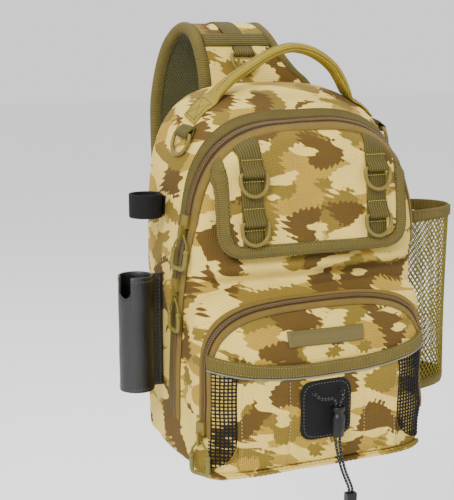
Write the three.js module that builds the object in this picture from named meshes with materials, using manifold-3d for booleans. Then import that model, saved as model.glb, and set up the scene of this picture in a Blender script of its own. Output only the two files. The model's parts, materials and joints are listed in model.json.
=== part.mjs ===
// Fishing tackle sling bag: padded arch-shaped body, bulging front pocket, mesh tool pocket,
// net bottle pocket, rod sleeve, carry handle and one wide shoulder strap that arches over the top.
// Millimetres, +X to the right, +Y to the back panel, +Z up.
// The bag is drawn standing on z = 0 and then moved so that the underside of the strap's crown,
// the place that rests on a shoulder, is the origin.
import * as THREE from 'three';
import { mergeVertices } from 'three/addons/utils/BufferGeometryUtils.js';
import Module from 'manifold-3d';

const wasm = await Module();
wasm.setup();

// Body
const bagWidth = 284;
const bagHeight = 419;
const bagDepth = 150;
const bagWall = 3;
const seamGap = 0.3;
const baseHeight = 51;
const springHeight = 209;
const faceBulge = 5;

// Main zip and its tapes
const zipTapeWidth = 10;
const weltWidth = 8;
const tapeThickness = 1.5;
const gussetBandWidth = 12;
const zipRunsBack = 30;

// Upper pocket with its bound edge
const flapWidth = 230;
const flapBottom = 239;
const flapTop = 357;
const flapCorner = 34;
const flapThickness = 2;
const flapStand = 3;
const flapLean = 0.07;
const upperPocketInset = 9;
const upperPocketTop = 318;
const fabricWall = 1.8;
const bindingWidth = 15;
const bindingThickness = 1.4;

// Webbing strips, their loops and the D-rings
const webbingWidth = 25;
const webbingThickness = 1.5;
const stripSpacing = 150;
const upperRingHeight = 329;
const ringSpacing = 51;
const lowerRingHeight = upperRingHeight - ringSpacing;
const ringWire = 4.4;
const ringInnerWidth = 26.5;
const ringLeg = 8;
const ringClearance = 0.35;
const sideRingY = -6;
const sideRingAngle = 0.92;
const sideRingLift = 1.5;

// Front pocket and what is sewn on it
const pocketDepth = 44;
const pocketHeight = 206;
const pocketWall = 2.5;
const pocketSpring = 109;
const pocketZipWidth = 17;
const pocketZipEnd = 51;
const bandWidth = 15;
const bandHeight = 111;
const bandRise = 16;
const labelWidth = 92;
const labelHeight = 17;
const labelCentre = 153;
const labelThickness = 1.6;
const toolPanelLeft = -104;
const toolPanelRight = 90;
const toolPanelThickness = 2;
const meshThickness = 1.6;
const basePipingHeight = 6;
const basePipingDepth = 5;

// Pliers holder
const holderWidth = 62;
const holderHeight = 66;
const holderCentreX = -3;
const holderTop = 106;
const holderThickness = 2.2;
const bungeeDiameter = 3;
const lockDiameter = 16;
const lockLength = 34;
const toggleLength = 26;
const toggleWidth = 12;

// Bottle pocket
const bottleWidth = 92;
const bottleReach = 87;
const bottleY = 8;
const bottleTop = 270;
const bottleBottom = 44;
const bottleBandHeight = 14;
const bottleFloorHeight = 13;
const netThickness = 1.6;
const netRows = 5;
const netColumns = 5;
const netFacets = 2 * netColumns - 1;

// Rod sleeve and rod strap
const sleeveDiameter = 40;
const sleeveHeight = 132;
const sleeveBottom = 77;
const sleeveWall = 2.4;
const sleeveStandOff = 12;
const sleeveNotch = 16;
const roundSteps = 8;
const rodStrapDiameter = 37;
const rodStrapHeight = 26;
const rodStrapDrop = 144;
const rodStrapBottom = bagHeight - rodStrapDrop;
const rodY = 15;

// Carry handle
const handleThickness = 11;
const handleTubeWidth = 20;
const handlePatchWidth = 30;
const handlePatchThickness = 3;
const handleRise = 40;
const handleTop = bagHeight + handleRise;
const handleHalfSpan = 112;
const handleHalfGrip = 80;
const handleY = 6;

// Shoulder strap
const strapWidth = 100;
const strapThickness = 8;
const liningThickness = 3;
const crownRise = 70;
const strapCrown = bagHeight + crownRise;
const rootDrop = 58;
const strapRoot = bagHeight - rootDrop;
const strapReach = 116;
const strapBindingWidth = 11;
const strapBindingThickness = 1.2;
const strapRingShare = 0.85;
const webbingStart = 0.32;
const lowerWebbingWidth = 38;
const buckleThickness = 7;
const buckleHeight = 22;
const anchorHeight = 46;

// Zip pulls
const sliderWidth = 10;
const sliderDepth = 5;
const pullCord = 2.4;
const pullHandleWidth = 26;
const pullHandleHeight = 23;
const pullHandleBar = 5;
const pullCordDrop = 12;
const pullCordSteps = 11;
const cordTurn = 5;
const tabDrop = 18;
const tabWidth = 9;
const tabThickness = 2;
const upperSliderHeight = 278;
const lowerSliderHeight = 207;

// Back panel padding
const backPadThickness = 10;
const padBevel = 3;
const padCorner = 26;

const backY = bagDepth / 2;
const frontY = -bagDepth / 2;
const halfWidth = bagWidth / 2;

// Helpers that turn geometry into solids and back
const meshTolerance = 0.1;
function toSolid(geometry) {
  const bare = geometry.clone();
  bare.deleteAttribute('normal');
  bare.deleteAttribute('uv');
  const merged = mergeVertices(bare, 1e-4);
  const count = merged.index.count;
  const solid = new wasm.Manifold(new wasm.Mesh({
    numProp: 3,
    vertProperties: new Float32Array(merged.attributes.position.array),
    triVerts: new Uint32Array(merged.index.array.slice(0, count)),
  }));
  return solid;
}

function toGeometry(solid) {
  const mesh = solid.simplify(meshTolerance).getMesh();
  const geometry = new THREE.BufferGeometry();
  geometry.setAttribute('position', new THREE.BufferAttribute(mesh.vertProperties, 3));
  geometry.setIndex(new THREE.BufferAttribute(mesh.triVerts, 1));
  geometry.computeVertexNormals();
  return geometry;
}

function signedVolume(position, index) {
  const a = new THREE.Vector3();
  const b = new THREE.Vector3();
  const c = new THREE.Vector3();
  let total = 0;
  for (let i = 0; i < index.length; i += 3) {
    a.fromArray(position, 3 * index[i]);
    b.fromArray(position, 3 * index[i + 1]);
    c.fromArray(position, 3 * index[i + 2]);
    total += a.dot(b.cross(c)) / 6;
  }
  return total;
}

function indexedGeometry(points, index) {
  const position = new Float32Array(points.flatMap((p) => [p.x, p.y, p.z]));
  if (signedVolume(position, index) < 0) {
    for (let i = 0; i < index.length; i += 3) {
      [index[i], index[i + 1]] = [index[i + 1], index[i]];
    }
  }
  const geometry = new THREE.BufferGeometry();
  geometry.setAttribute('position', new THREE.BufferAttribute(position, 3));
  geometry.setIndex(index);
  geometry.computeVertexNormals();
  return geometry;
}

// A loft through closed rings of equal count. Ends get a fan to a centre point, or the last ring
// joins the first one when the loft is a closed loop.
function loft(rings, { closed = false, ends = null } = {}) {
  const count = rings[0].length;
  const points = rings.flat();
  const index = [];
  const spans = closed ? rings.length : rings.length - 1;
  for (let i = 0; i < spans; i += 1) {
    const near = i * count;
    const far = ((i + 1) % rings.length) * count;
    for (let j = 0; j < count; j += 1) {
      const k = (j + 1) % count;
      index.push(near + j, near + k, far + k, near + j, far + k, far + j);
    }
  }
  if (!closed) {
    const centres = ends ?? [rings[0], rings[rings.length - 1]].map((ring) => {
      const sum = ring.reduce((total, p) => total.add(p), new THREE.Vector3());
      return sum.divideScalar(count);
    });
    [0, rings.length - 1].forEach((row, side) => {
      const tip = points.length;
      points.push(centres[side]);
      for (let j = 0; j < count; j += 1) {
        const a = row * count + j;
        const b = row * count + (j + 1) % count;
        if (side === 0) index.push(tip, b, a);
        else index.push(tip, a, b);
      }
    });
  }
  return indexedGeometry(points, index);
}

// Arch outline in the x-z plane: flat bottom with small corners, straight sides, and a
// superellipse above the spring line.
const sideSteps = 1;
const bottomCorner = 16;
const bodyArchSteps = 8;
const pocketArchSteps = 6;
function archOutline(half, bottom, spring, top, power, archSteps) {
  const right = [];
  const corner = Math.min(bottomCorner, half / 3);
  right.push([half - corner, bottom]);
  right.push([half - corner * 0.3, bottom + corner * 0.3]);
  for (let i = 0; i < sideSteps; i += 1) {
    const low = bottom + corner;
    right.push([half, low + (spring - low) * i / sideSteps]);
  }
  for (let i = 0; i < archSteps; i += 1) {
    const angle = Math.PI / 2 * i / archSteps;
    const x = half * Math.cos(angle) ** (2 / power);
    const z = spring + (top - spring) * Math.sin(angle) ** (2 / power);
    right.push([x, z]);
  }
  const left = right.map(([x, z]) => [-x, z]).reverse();
  return [...right, [0, top], ...left, [0, bottom]];
}

// Depth profile of the body. Depth runs from the back panel (0) to the flat of the front (1).
// Width is a share of half the bag's width, top and bottom are shares of its height.
const bodyRows = [
  { depth: 0.0, width: 0.953, bottom: 0.02, top: 0.981, power: 3.5 },
  { depth: 0.05, width: 0.993, bottom: 0.0, top: 0.997, power: 3.5 },
  { depth: 0.2, width: 1.0, bottom: 0.0, top: 1.0, power: 3.5 },
  { depth: 0.5, width: 1.0, bottom: 0.0, top: 0.983, power: 3.4 },
  { depth: 0.67, width: 0.997, bottom: 0.0, top: 0.955, power: 3.2 },
  { depth: 0.8, width: 0.987, bottom: 0.003, top: 0.918, power: 3.1 },
  { depth: 0.92, width: 0.95, bottom: 0.012, top: 0.893, power: 3.0 },
  { depth: 0.97, width: 0.89, bottom: 0.03, top: 0.865, power: 3.0 },
  { depth: 1.0, width: 0.76, bottom: 0.08, top: 0.815, power: 2.8 },
];
// Depth profile of the front pocket: depth 0 is the front of the body, 1 the pocket's front.
// Top is a share of the pocket's height.
const pocketRows = [
  { depth: -0.6, width: 0.985, bottom: 0.004, top: 1.01, power: 7.0 },
  { depth: 0.0, width: 0.993, bottom: 0.0, top: 1.0, power: 6.0 },
  { depth: 0.25, width: 0.98, bottom: 0.0, top: 0.955, power: 4.0 },
  { depth: 0.37, width: 0.953, bottom: 0.0, top: 0.93, power: 3.3 },
  { depth: 0.55, width: 0.912, bottom: 0.004, top: 0.885, power: 3.1 },
  { depth: 0.75, width: 0.83, bottom: 0.016, top: 0.81, power: 3.0 },
  { depth: 0.88, width: 0.71, bottom: 0.035, top: 0.7, power: 2.8 },
  { depth: 0.96, width: 0.52, bottom: 0.1, top: 0.55, power: 2.6 },
];

function bodyRings() {
  return bodyRows.map((row) => archOutline(
    halfWidth * row.width,
    bagHeight * row.bottom,
    springHeight,
    bagHeight * row.top,
    row.power,
    bodyArchSteps,
  ).map(([x, z]) => new THREE.Vector3(x, backY - bagDepth * row.depth, z)));
}

function pocketRings() {
  return pocketRows.map((row) => archOutline(
    halfWidth * row.width,
    pocketHeight * row.bottom,
    Math.min(pocketSpring, pocketHeight * row.top * 0.7),
    pocketHeight * row.top,
    row.power,
    pocketArchSteps,
  ).map(([x, z]) => new THREE.Vector3(x, frontY - pocketDepth * row.depth, z)));
}

// Moves every ring point along the surface normal, so that the skin grows or shrinks evenly.
function offsetRings(rings, distance) {
  const count = rings[0].length;
  return rings.map((ring, i) => ring.map((p, j) => {
    const along = new THREE.Vector3().subVectors(ring[(j + 1) % count], ring[(j + count - 1) % count]);
    const before = rings[Math.max(i - 1, 0)][j];
    const after = rings[Math.min(i + 1, rings.length - 1)][j];
    const across = new THREE.Vector3().subVectors(after, before);
    const normal = new THREE.Vector3().crossVectors(along, across).normalize();
    if (i === 0) normal.add(new THREE.Vector3(0, 1, 0)).normalize();
    return p.clone().addScaledVector(normal, distance);
  }));
}

function skin(rings, distance, backCentre, frontCentre) {
  const grown = distance === 0 ? rings : offsetRings(rings, distance);
  const back = backCentre.clone().add(new THREE.Vector3(0, distance, 0));
  const front = frontCentre.clone().add(new THREE.Vector3(0, -distance, 0));
  return toSolid(loft(grown, { ends: [back, front] }));
}

const bodyCentres = [
  new THREE.Vector3(0, backY, bagHeight / 2),
  new THREE.Vector3(0, frontY - faceBulge, bagHeight / 2),
];
const pocketCentres = [
  new THREE.Vector3(0, frontY + pocketDepth * 0.6, pocketHeight / 2),
  new THREE.Vector3(0, frontY - pocketDepth, pocketHeight * 0.3),
];
const bodySkins = new Map();
function bodySkin(distance) {
  if (!bodySkins.has(distance)) bodySkins.set(distance, skin(bodyRings(), distance, ...bodyCentres));
  return bodySkins.get(distance);
}
const pocketSkins = new Map();
function pocketSkin(distance) {
  if (!pocketSkins.has(distance)) pocketSkins.set(distance, skin(pocketRings(), distance, ...pocketCentres));
  return pocketSkins.get(distance);
}

// Prisms: an outline in x-z swept along y, and one in y-z swept along x.
const reach = 2 * bagWidth;
function prismAlongY(shape, curveSteps = 6) {
  const geometry = new THREE.ExtrudeGeometry(shape, {
    depth: reach, bevelEnabled: false, curveSegments: curveSteps,
  });
  geometry.rotateX(Math.PI / 2);
  return toSolid(geometry);
}

function prismAlongX(outline, length = 2 * reach, start = -reach) {
  const shape = new THREE.Shape(outline.map(([y, z]) => new THREE.Vector2(y, z)));
  const geometry = new THREE.ExtrudeGeometry(shape, { depth: length, bevelEnabled: false });
  geometry.applyMatrix4(new THREE.Matrix4().makeBasis(
    new THREE.Vector3(0, 1, 0),
    new THREE.Vector3(0, 0, 1),
    new THREE.Vector3(1, 0, 0),
  ));
  geometry.translate(start, 0, 0);
  return toSolid(geometry);
}

function box(x0, x1, y0, y1, z0, z1) {
  const geometry = new THREE.BoxGeometry(x1 - x0, y1 - y0, z1 - z0);
  geometry.translate((x0 + x1) / 2, (y0 + y1) / 2, (z0 + z1) / 2);
  return toSolid(geometry);
}

function roundedRectangle(width, height, radius, centreX, centreZ) {
  const left = centreX - width / 2;
  const right = centreX + width / 2;
  const low = centreZ - height / 2;
  const high = centreZ + height / 2;
  const shape = new THREE.Shape();
  shape.moveTo(left + radius, low);
  shape.lineTo(right - radius, low);
  shape.absarc(right - radius, low + radius, radius, -Math.PI / 2, 0, false);
  shape.lineTo(right, high - radius);
  shape.absarc(right - radius, high - radius, radius, 0, Math.PI / 2, false);
  shape.lineTo(left + radius, high);
  shape.absarc(left + radius, high - radius, radius, Math.PI / 2, Math.PI, false);
  shape.lineTo(left, low + radius);
  shape.absarc(left + radius, low + radius, radius, Math.PI, 1.5 * Math.PI, false);
  return shape;
}

// A layer of cloth on a skin: the part of a prism between two distances from the skin.
function layer(skinAt, prism, near, far) {
  return prism.intersect(skinAt(far)).subtract(skinAt(near));
}

// Where the main zip crosses the side: level with the arch above, further back lower down.
const zipArchY = backY - bagDepth * 0.85;
const zipTable = [
  { height: -0.1, back: 1.0 },
  { height: 0.21, back: 1.0 },
  { height: 0.45, back: 0.6 },
  { height: 0.66, back: 0.0 },
  { height: 1.3, back: 0.0 },
];
function zipLine(shift) {
  return zipTable.map((row) => [zipArchY + zipRunsBack * row.back + shift, bagHeight * row.height]);
}
function zipStrip(from, to) {
  const strip = prismAlongX([...zipLine(from), ...zipLine(to).reverse()]);
  return strip.intersect(box(-reach, reach, -reach, reach, baseHeight, reach));
}

const parts = [];
function addPart(name, solid, look) {
  const geometry = solid.isBufferGeometry ? solid : toGeometry(solid);
  const material = new THREE.MeshStandardMaterial(look);
  const mesh = new THREE.Mesh(geometry, material);
  mesh.name = name;
  parts.push(mesh);
  return mesh;
}

const looks = {
  camo: { color: 0xc2a878, roughness: 0.85, metalness: 0 },
  olive: { color: 0x706c3e, roughness: 0.8, metalness: 0 },
  tan: { color: 0x96785a, roughness: 0.75, metalness: 0 },
  handle: { color: 0xb9aa5a, roughness: 0.8, metalness: 0 },
  lining: { color: 0x4b4b1e, roughness: 0.9, metalness: 0 },
  black: { color: 0x1c1c1e, roughness: 0.6, metalness: 0 },
  moulded: { color: 0x8a8545, roughness: 0.4, metalness: 0 },
};

// Body shell: gusset, back and base in one, open at the front above the base
function makeBody() {
  const shell = bodySkin(0).subtract(bodySkin(-bagWall));
  const frontPart = (gap) => prismAlongX([
    [-reach, baseHeight + gap],
    ...zipLine(-gap).map(([y, z]) => [y, Math.max(z, baseHeight + gap)]),
    [-reach, bagHeight * 1.3],
  ]);
  addPart('main_shell', shell.subtract(frontPart(0)), looks.camo);
  addPart('front_panel', shell.intersect(frontPart(seamGap)), looks.camo);
}

function makeMainZip() {
  addPart('main_zip', layer(bodySkin, zipStrip(-weltWidth - zipTapeWidth / 2, zipTapeWidth / 2),
    seamGap, seamGap + tapeThickness), looks.tan);
  const bandStart = zipTapeWidth / 2 + seamGap;
  addPart('gusset_band', layer(bodySkin, zipStrip(bandStart, bandStart + gussetBandWidth),
    seamGap, seamGap + bindingThickness), looks.olive);
}

// Flap outline: square top, lower corners cut round
function flapOutline(inset, top) {
  const half = flapWidth / 2 - inset;
  const low = flapBottom + inset;
  const corner = Math.max(flapCorner - inset, 2);
  const shape = new THREE.Shape();
  shape.moveTo(-half + corner * 0.8, low);
  shape.lineTo(half - corner * 0.8, low);
  shape.quadraticCurveTo(half, low + corner * 0.1, half, low + corner);
  shape.lineTo(half, top);
  shape.lineTo(-half, top);
  shape.lineTo(-half, low + corner);
  shape.quadraticCurveTo(-half, low + corner * 0.1, -half + corner * 0.8, low);
  return shape;
}

// The flap leans forward from its sewn top edge, because the pocket under it is deeper below
const flapSkins = new Map();
function flapSkin(distance) {
  if (!flapSkins.has(distance)) {
    const lean = new THREE.Matrix4().set(
      1, 0, 0, 0,
      0, 1, flapLean, -flapLean * flapTop,
      0, 0, 1, 0,
      0, 0, 0, 1,
    );
    flapSkins.set(distance, bodySkin(distance).transform(lean.elements));
  }
  return flapSkins.get(distance);
}

function makeUpperPocket() {
  const clearOfTape = zipStrip(-weltWidth - zipTapeWidth / 2 - seamGap, reach);
  const flapBack = flapStand;
  const flapFront = flapStand + flapThickness;
  const sheet = prismAlongY(flapOutline(0, flapTop), 4);
  addPart('upper_flap', layer(flapSkin, sheet, flapBack, flapFront)
    .subtract(bodySkin(seamGap)).subtract(clearOfTape), looks.camo);
  const frame = sheet.subtract(prismAlongY(flapOutline(bindingWidth, bagHeight), 4));
  const bindingNear = flapFront + seamGap;
  addPart('flap_binding', layer(flapSkin, frame, bindingNear, bindingNear + bindingThickness)
    .subtract(clearOfTape), looks.olive);
  const body = prismAlongY(flapOutline(upperPocketInset, upperPocketTop), 2)
    .intersect(flapSkin(flapBack - seamGap));
  const room = prismAlongY(flapOutline(upperPocketInset + fabricWall, bagHeight), 2)
    .intersect(flapSkin(flapBack - seamGap - fabricWall)).subtract(bodySkin(seamGap + fabricWall));
  addPart('upper_pocket', body.subtract(bodySkin(seamGap)).subtract(room), looks.camo);
}

// Finds where a line from a point meets a solid
function hit(solid, origin, direction) {
  const mesh = new THREE.Mesh(toGeometry(solid), new THREE.MeshBasicMaterial());
  mesh.material.side = THREE.DoubleSide;
  return new THREE.Raycaster(origin, direction.clone().normalize()).intersectObject(mesh)[0].point;
}
function faceY(solid, x, z) {
  return hit(solid, new THREE.Vector3(x, -reach, z), new THREE.Vector3(0, 1, 0)).y;
}

// A seat is a place on a surface: x along the ring's bar, y into the surface, z up the surface
function seatFrame(point, outward, up) {
  const inward = outward.clone().negate().normalize();
  const along = new THREE.Vector3().crossVectors(inward, up).normalize();
  const upward = new THREE.Vector3().crossVectors(along, inward).normalize();
  return new THREE.Matrix4().makeBasis(along, inward, upward).setPosition(point);
}

const wireRadius = ringWire / 2;
const tunnelRadius = wireRadius + ringClearance;
const loopRadius = tunnelRadius + webbingThickness;

// Webbing loop around a ring's bar: the tab above the bar and the fold around it, in seat axes.
// The bar's centre is the origin and the surface lies at y = loopRadius.
function webbingLoop(tabLength, width) {
  const shape = new THREE.Shape();
  shape.moveTo(loopRadius, tabLength);
  shape.lineTo(loopRadius - webbingThickness, tabLength);
  shape.lineTo(loopRadius * 0.25, loopRadius * 0.97);
  shape.absarc(0, 0, loopRadius, Math.PI * 0.42, Math.PI * 1.5, false);
  shape.lineTo(loopRadius, -loopRadius);
  const tunnel = new THREE.Path();
  tunnel.absarc(0, 0, tunnelRadius, 0, 2 * Math.PI, false);
  shape.holes.push(tunnel);
  const geometry = new THREE.ExtrudeGeometry(shape, {
    depth: width, bevelEnabled: false, curveSegments: 5,
  });
  geometry.applyMatrix4(new THREE.Matrix4().makeBasis(
    new THREE.Vector3(0, 1, 0),
    new THREE.Vector3(0, 0, 1),
    new THREE.Vector3(1, 0, 0),
  ));
  geometry.translate(-width / 2, 0, 0);
  return geometry;
}

// D-ring around the same bar, hanging down the seat's z axis
const wireSides = 6;
const bowSteps = 6;
function ringGeometry() {
  const half = (ringInnerWidth + ringWire) / 2;
  const path = [
    [-half, 0], [-half * 0.55, 0], [half * 0.55, 0], [half, 0],
  ];
  for (let i = 0; i <= bowSteps; i += 1) {
    const angle = -Math.PI * i / bowSteps;
    path.push([half * Math.cos(angle), -ringLeg + half * Math.sin(angle)]);
  }
  const rings = path.map(([x, z], i) => {
    const [bx, bz] = path[(i + path.length - 1) % path.length];
    const [ax, az] = path[(i + 1) % path.length];
    const into = new THREE.Vector2(x - bx, z - bz).normalize();
    const out = new THREE.Vector2(ax - x, az - z).normalize();
    const tangent = new THREE.Vector2().addVectors(into, out).normalize();
    const side = new THREE.Vector2(tangent.y, -tangent.x);
    const stretch = 1 / Math.max(side.dot(new THREE.Vector2(into.y, -into.x)), 0.6);
    return Array.from({ length: wireSides }, (_, j) => {
      const angle = 2 * Math.PI * (j + 0.5) / wireSides;
      const sideways = wireRadius * stretch * Math.cos(angle);
      return new THREE.Vector3(
        x + side.x * sideways,
        wireRadius * Math.sin(angle),
        z + side.y * sideways,
      );
    });
  });
  return loft(rings, { closed: true });
}

function addRing(name, seat) {
  addPart(name, ringGeometry().applyMatrix4(seat), looks.moulded);
}

// Seat for a ring's bar on the front, standing off a skin by the loop's radius
const ringStand = loopRadius - 0.1;
function frontSeat(solid, x, z) {
  const step = 12;
  const up = new THREE.Vector3(0, faceY(solid, x, z + step) - faceY(solid, x, z - step), 2 * step);
  const outward = new THREE.Vector3(0, -up.z, up.y).normalize();
  const surface = new THREE.Vector3(x, faceY(solid, x, z), z);
  return seatFrame(surface.addScaledVector(outward, ringStand), outward, up.normalize());
}

function makeStrips() {
  const stripNear = flapStand + flapThickness + seamGap;
  const stripFar = stripNear + webbingThickness;
  const top = flapTop - 2;
  const bottom = flapBottom + bindingWidth + 2;
  const clearOfTape = zipStrip(-weltWidth - zipTapeWidth / 2 - seamGap, reach);
  [['left', -1], ['right', 1]].forEach(([side, sign]) => {
    const centre = sign * stripSpacing / 2;
    const outline = roundedRectangle(webbingWidth, top - bottom, 0.5, centre, (top + bottom) / 2);
    let strip = layer(flapSkin, prismAlongY(outline, 1), stripNear, stripFar).subtract(clearOfTape);
    [['upper', upperRingHeight], ['lower', lowerRingHeight]].forEach(([level, height]) => {
      const seat = frontSeat(flapSkin(stripFar), centre, height);
      const loop = webbingLoop(webbingThickness * 10, webbingWidth).applyMatrix4(seat);
      strip = strip.add(toSolid(loop).subtract(flapSkin(stripNear + webbingThickness / 2)));
      addRing(`ring_${level}_${side}`, seat);
    });
    addPart(`webbing_strip_${side}`, strip, looks.olive);
  });
}

// D-ring tabs on the shoulders of the bag, beside the handle's ends. The ring lies on the slope
// below its bar, so the seat follows the surface there.
const ringSpread = 0.14;
function makeSideTabs() {
  const solid = bodySkin(seamGap);
  [['left', -1], ['right', 1]].forEach(([side, sign]) => {
    const at = (angle, y) => hit(solid, new THREE.Vector3(0, y, springHeight),
      new THREE.Vector3(sign * Math.cos(angle), 0, Math.sin(angle)));
    const bar = at(sideRingAngle, sideRingY);
    const up = new THREE.Vector3().subVectors(bar, at(sideRingAngle - ringSpread, sideRingY));
    const back = new THREE.Vector3().subVectors(
      at(sideRingAngle - ringSpread / 2, sideRingY + ringInnerWidth / 2),
      at(sideRingAngle - ringSpread / 2, sideRingY - ringInnerWidth / 2),
    );
    const outward = new THREE.Vector3().crossVectors(up, back).multiplyScalar(-sign).normalize();
    const seat = seatFrame(bar.addScaledVector(outward, loopRadius + sideRingLift), outward, up.normalize());
    const loop = webbingLoop(webbingThickness * 7, webbingWidth).applyMatrix4(seat);
    const foot = box(-webbingWidth / 2, webbingWidth / 2, loopRadius - webbingThickness, 2 * loopRadius,
      -loopRadius, webbingThickness * 7).transform(seat.elements);
    const piece = toSolid(loop).add(foot).subtract(solid);
    addPart(`side_tab_${side}`, piece, looks.olive);
    addRing(`ring_side_${side}`, seat);
  });
}

// Front pocket: a cup against the body, open to the back
function makeFrontPocket() {
  const room = pocketSkin(-pocketWall).add(box(
    -halfWidth * 0.9, halfWidth * 0.9, frontY - 1, frontY + pocketDepth, pocketWall * 2, pocketHeight * 0.9,
  ));
  const cup = pocketSkin(0).subtract(room).subtract(bodySkin(seamGap));
  const pieces = cup.decompose().sort((a, b) => b.volume() - a.volume());
  addPart('front_pocket', pieces[0], looks.camo);

  // The zip follows the pocket's rounded edge, a set distance behind its front
  const zipY = frontY - pocketDepth * 0.4;
  const strip = box(-reach, reach, zipY - pocketZipWidth / 2, zipY + pocketZipWidth / 2, pocketZipEnd, reach);
  addPart('front_pocket_zip', layer(pocketSkin, strip, seamGap, seamGap + tapeThickness)
    .subtract(bodySkin(seamGap)), looks.tan);
}

// A band between two heights whose ends curve upwards
function risingBand(half, low, high, rise) {
  const shares = [-1, -0.8, -0.5, 0, 0.5, 0.8, 1];
  const lift = (share) => rise * Math.abs(share) ** 2.5;
  const shape = new THREE.Shape();
  shares.forEach((share, i) => {
    if (i === 0) shape.moveTo(half * share, low + lift(share));
    else shape.lineTo(half * share, low + lift(share));
  });
  [...shares].reverse().forEach((share) => shape.lineTo(half * share, high + lift(share)));
  return shape;
}

// The tool pocket's camo panel, its mesh ends, and the olive band across their top
function makeToolPocket() {
  const zipFront = frontY - pocketDepth * 0.4 - pocketZipWidth / 2 - seamGap;
  const front = box(-reach, reach, -reach, zipFront, -reach, reach);
  const onFront = (shape, near, far, steps) => layer(pocketSkin, prismAlongY(shape, steps), near, far)
    .intersect(front);
  const panelTop = bandHeight + bandWidth * 0.6;
  const panelBottom = bagHeight * 0.03;
  const panelMiddle = (toolPanelLeft + toolPanelRight) / 2;
  const camoPanel = roundedRectangle(toolPanelRight - toolPanelLeft, panelTop - panelBottom, 1,
    panelMiddle, (panelTop + panelBottom) / 2);
  addPart('tool_pocket', onFront(camoPanel, seamGap, seamGap + toolPanelThickness, 1), looks.camo);

  const meshTop = bandHeight + bandRise;
  const meshEdge = halfWidth * 0.925;
  [['left', -1, -toolPanelLeft, 2, 5], ['right', 1, toolPanelRight, 2, 5]].forEach(
    ([side, sign, inner, across, up]) => {
      const low = panelBottom + 3;
      const shape = new THREE.Shape();
      shape.moveTo(sign * (inner + seamGap), low + (meshTop - low) * 0.12);
      shape.lineTo(sign * (inner + (meshEdge - inner) * 0.45), low);
      shape.lineTo(sign * meshEdge, low + (meshTop - low) * 0.18);
      shape.lineTo(sign * meshEdge, meshTop);
      shape.lineTo(sign * (inner + seamGap), meshTop);
      const pitchX = (meshEdge - inner) / (across + 0.3);
      const pitchZ = (meshTop - low) * 0.8 / (up + 0.3);
      let net = prismAlongY(shape, 1);
      for (let i = 0; i < across; i += 1) {
        for (let j = 0; j < up; j += 1) {
          const x = sign * (inner + pitchX * (i + 0.65));
          const z = meshTop - pitchZ * (j + 0.65);
          const w = pitchX * 0.35;
          const h = pitchZ * 0.35;
          net = net.subtract(box(x - w, x + w, -reach, reach, z - h, z + h));
        }
      }
      const panel = layer(pocketSkin, net, seamGap, seamGap + meshThickness).intersect(front);
      addPart(`mesh_${side}`, panel, looks.black);
    },
  );

  const bandNear = 2 * seamGap + toolPanelThickness;
  const band = risingBand(halfWidth * 0.93, bandHeight, bandHeight + bandWidth, bandRise);
  addPart('pocket_band', onFront(band, bandNear, bandNear + bindingThickness, 1), looks.olive);

  const label = roundedRectangle(labelWidth, labelHeight, 2, 0, labelCentre);
  addPart('blank_label', onFront(label, seamGap, seamGap + labelThickness, 3), looks.moulded);

  const low = pocketHeight * 0.045;
  const edge = roundedRectangle(2 * halfWidth * 0.9, basePipingHeight, 0.5, 0, low);
  addPart('base_piping', onFront(edge, seamGap, seamGap + basePipingDepth, 1), looks.camo);
}

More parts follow.
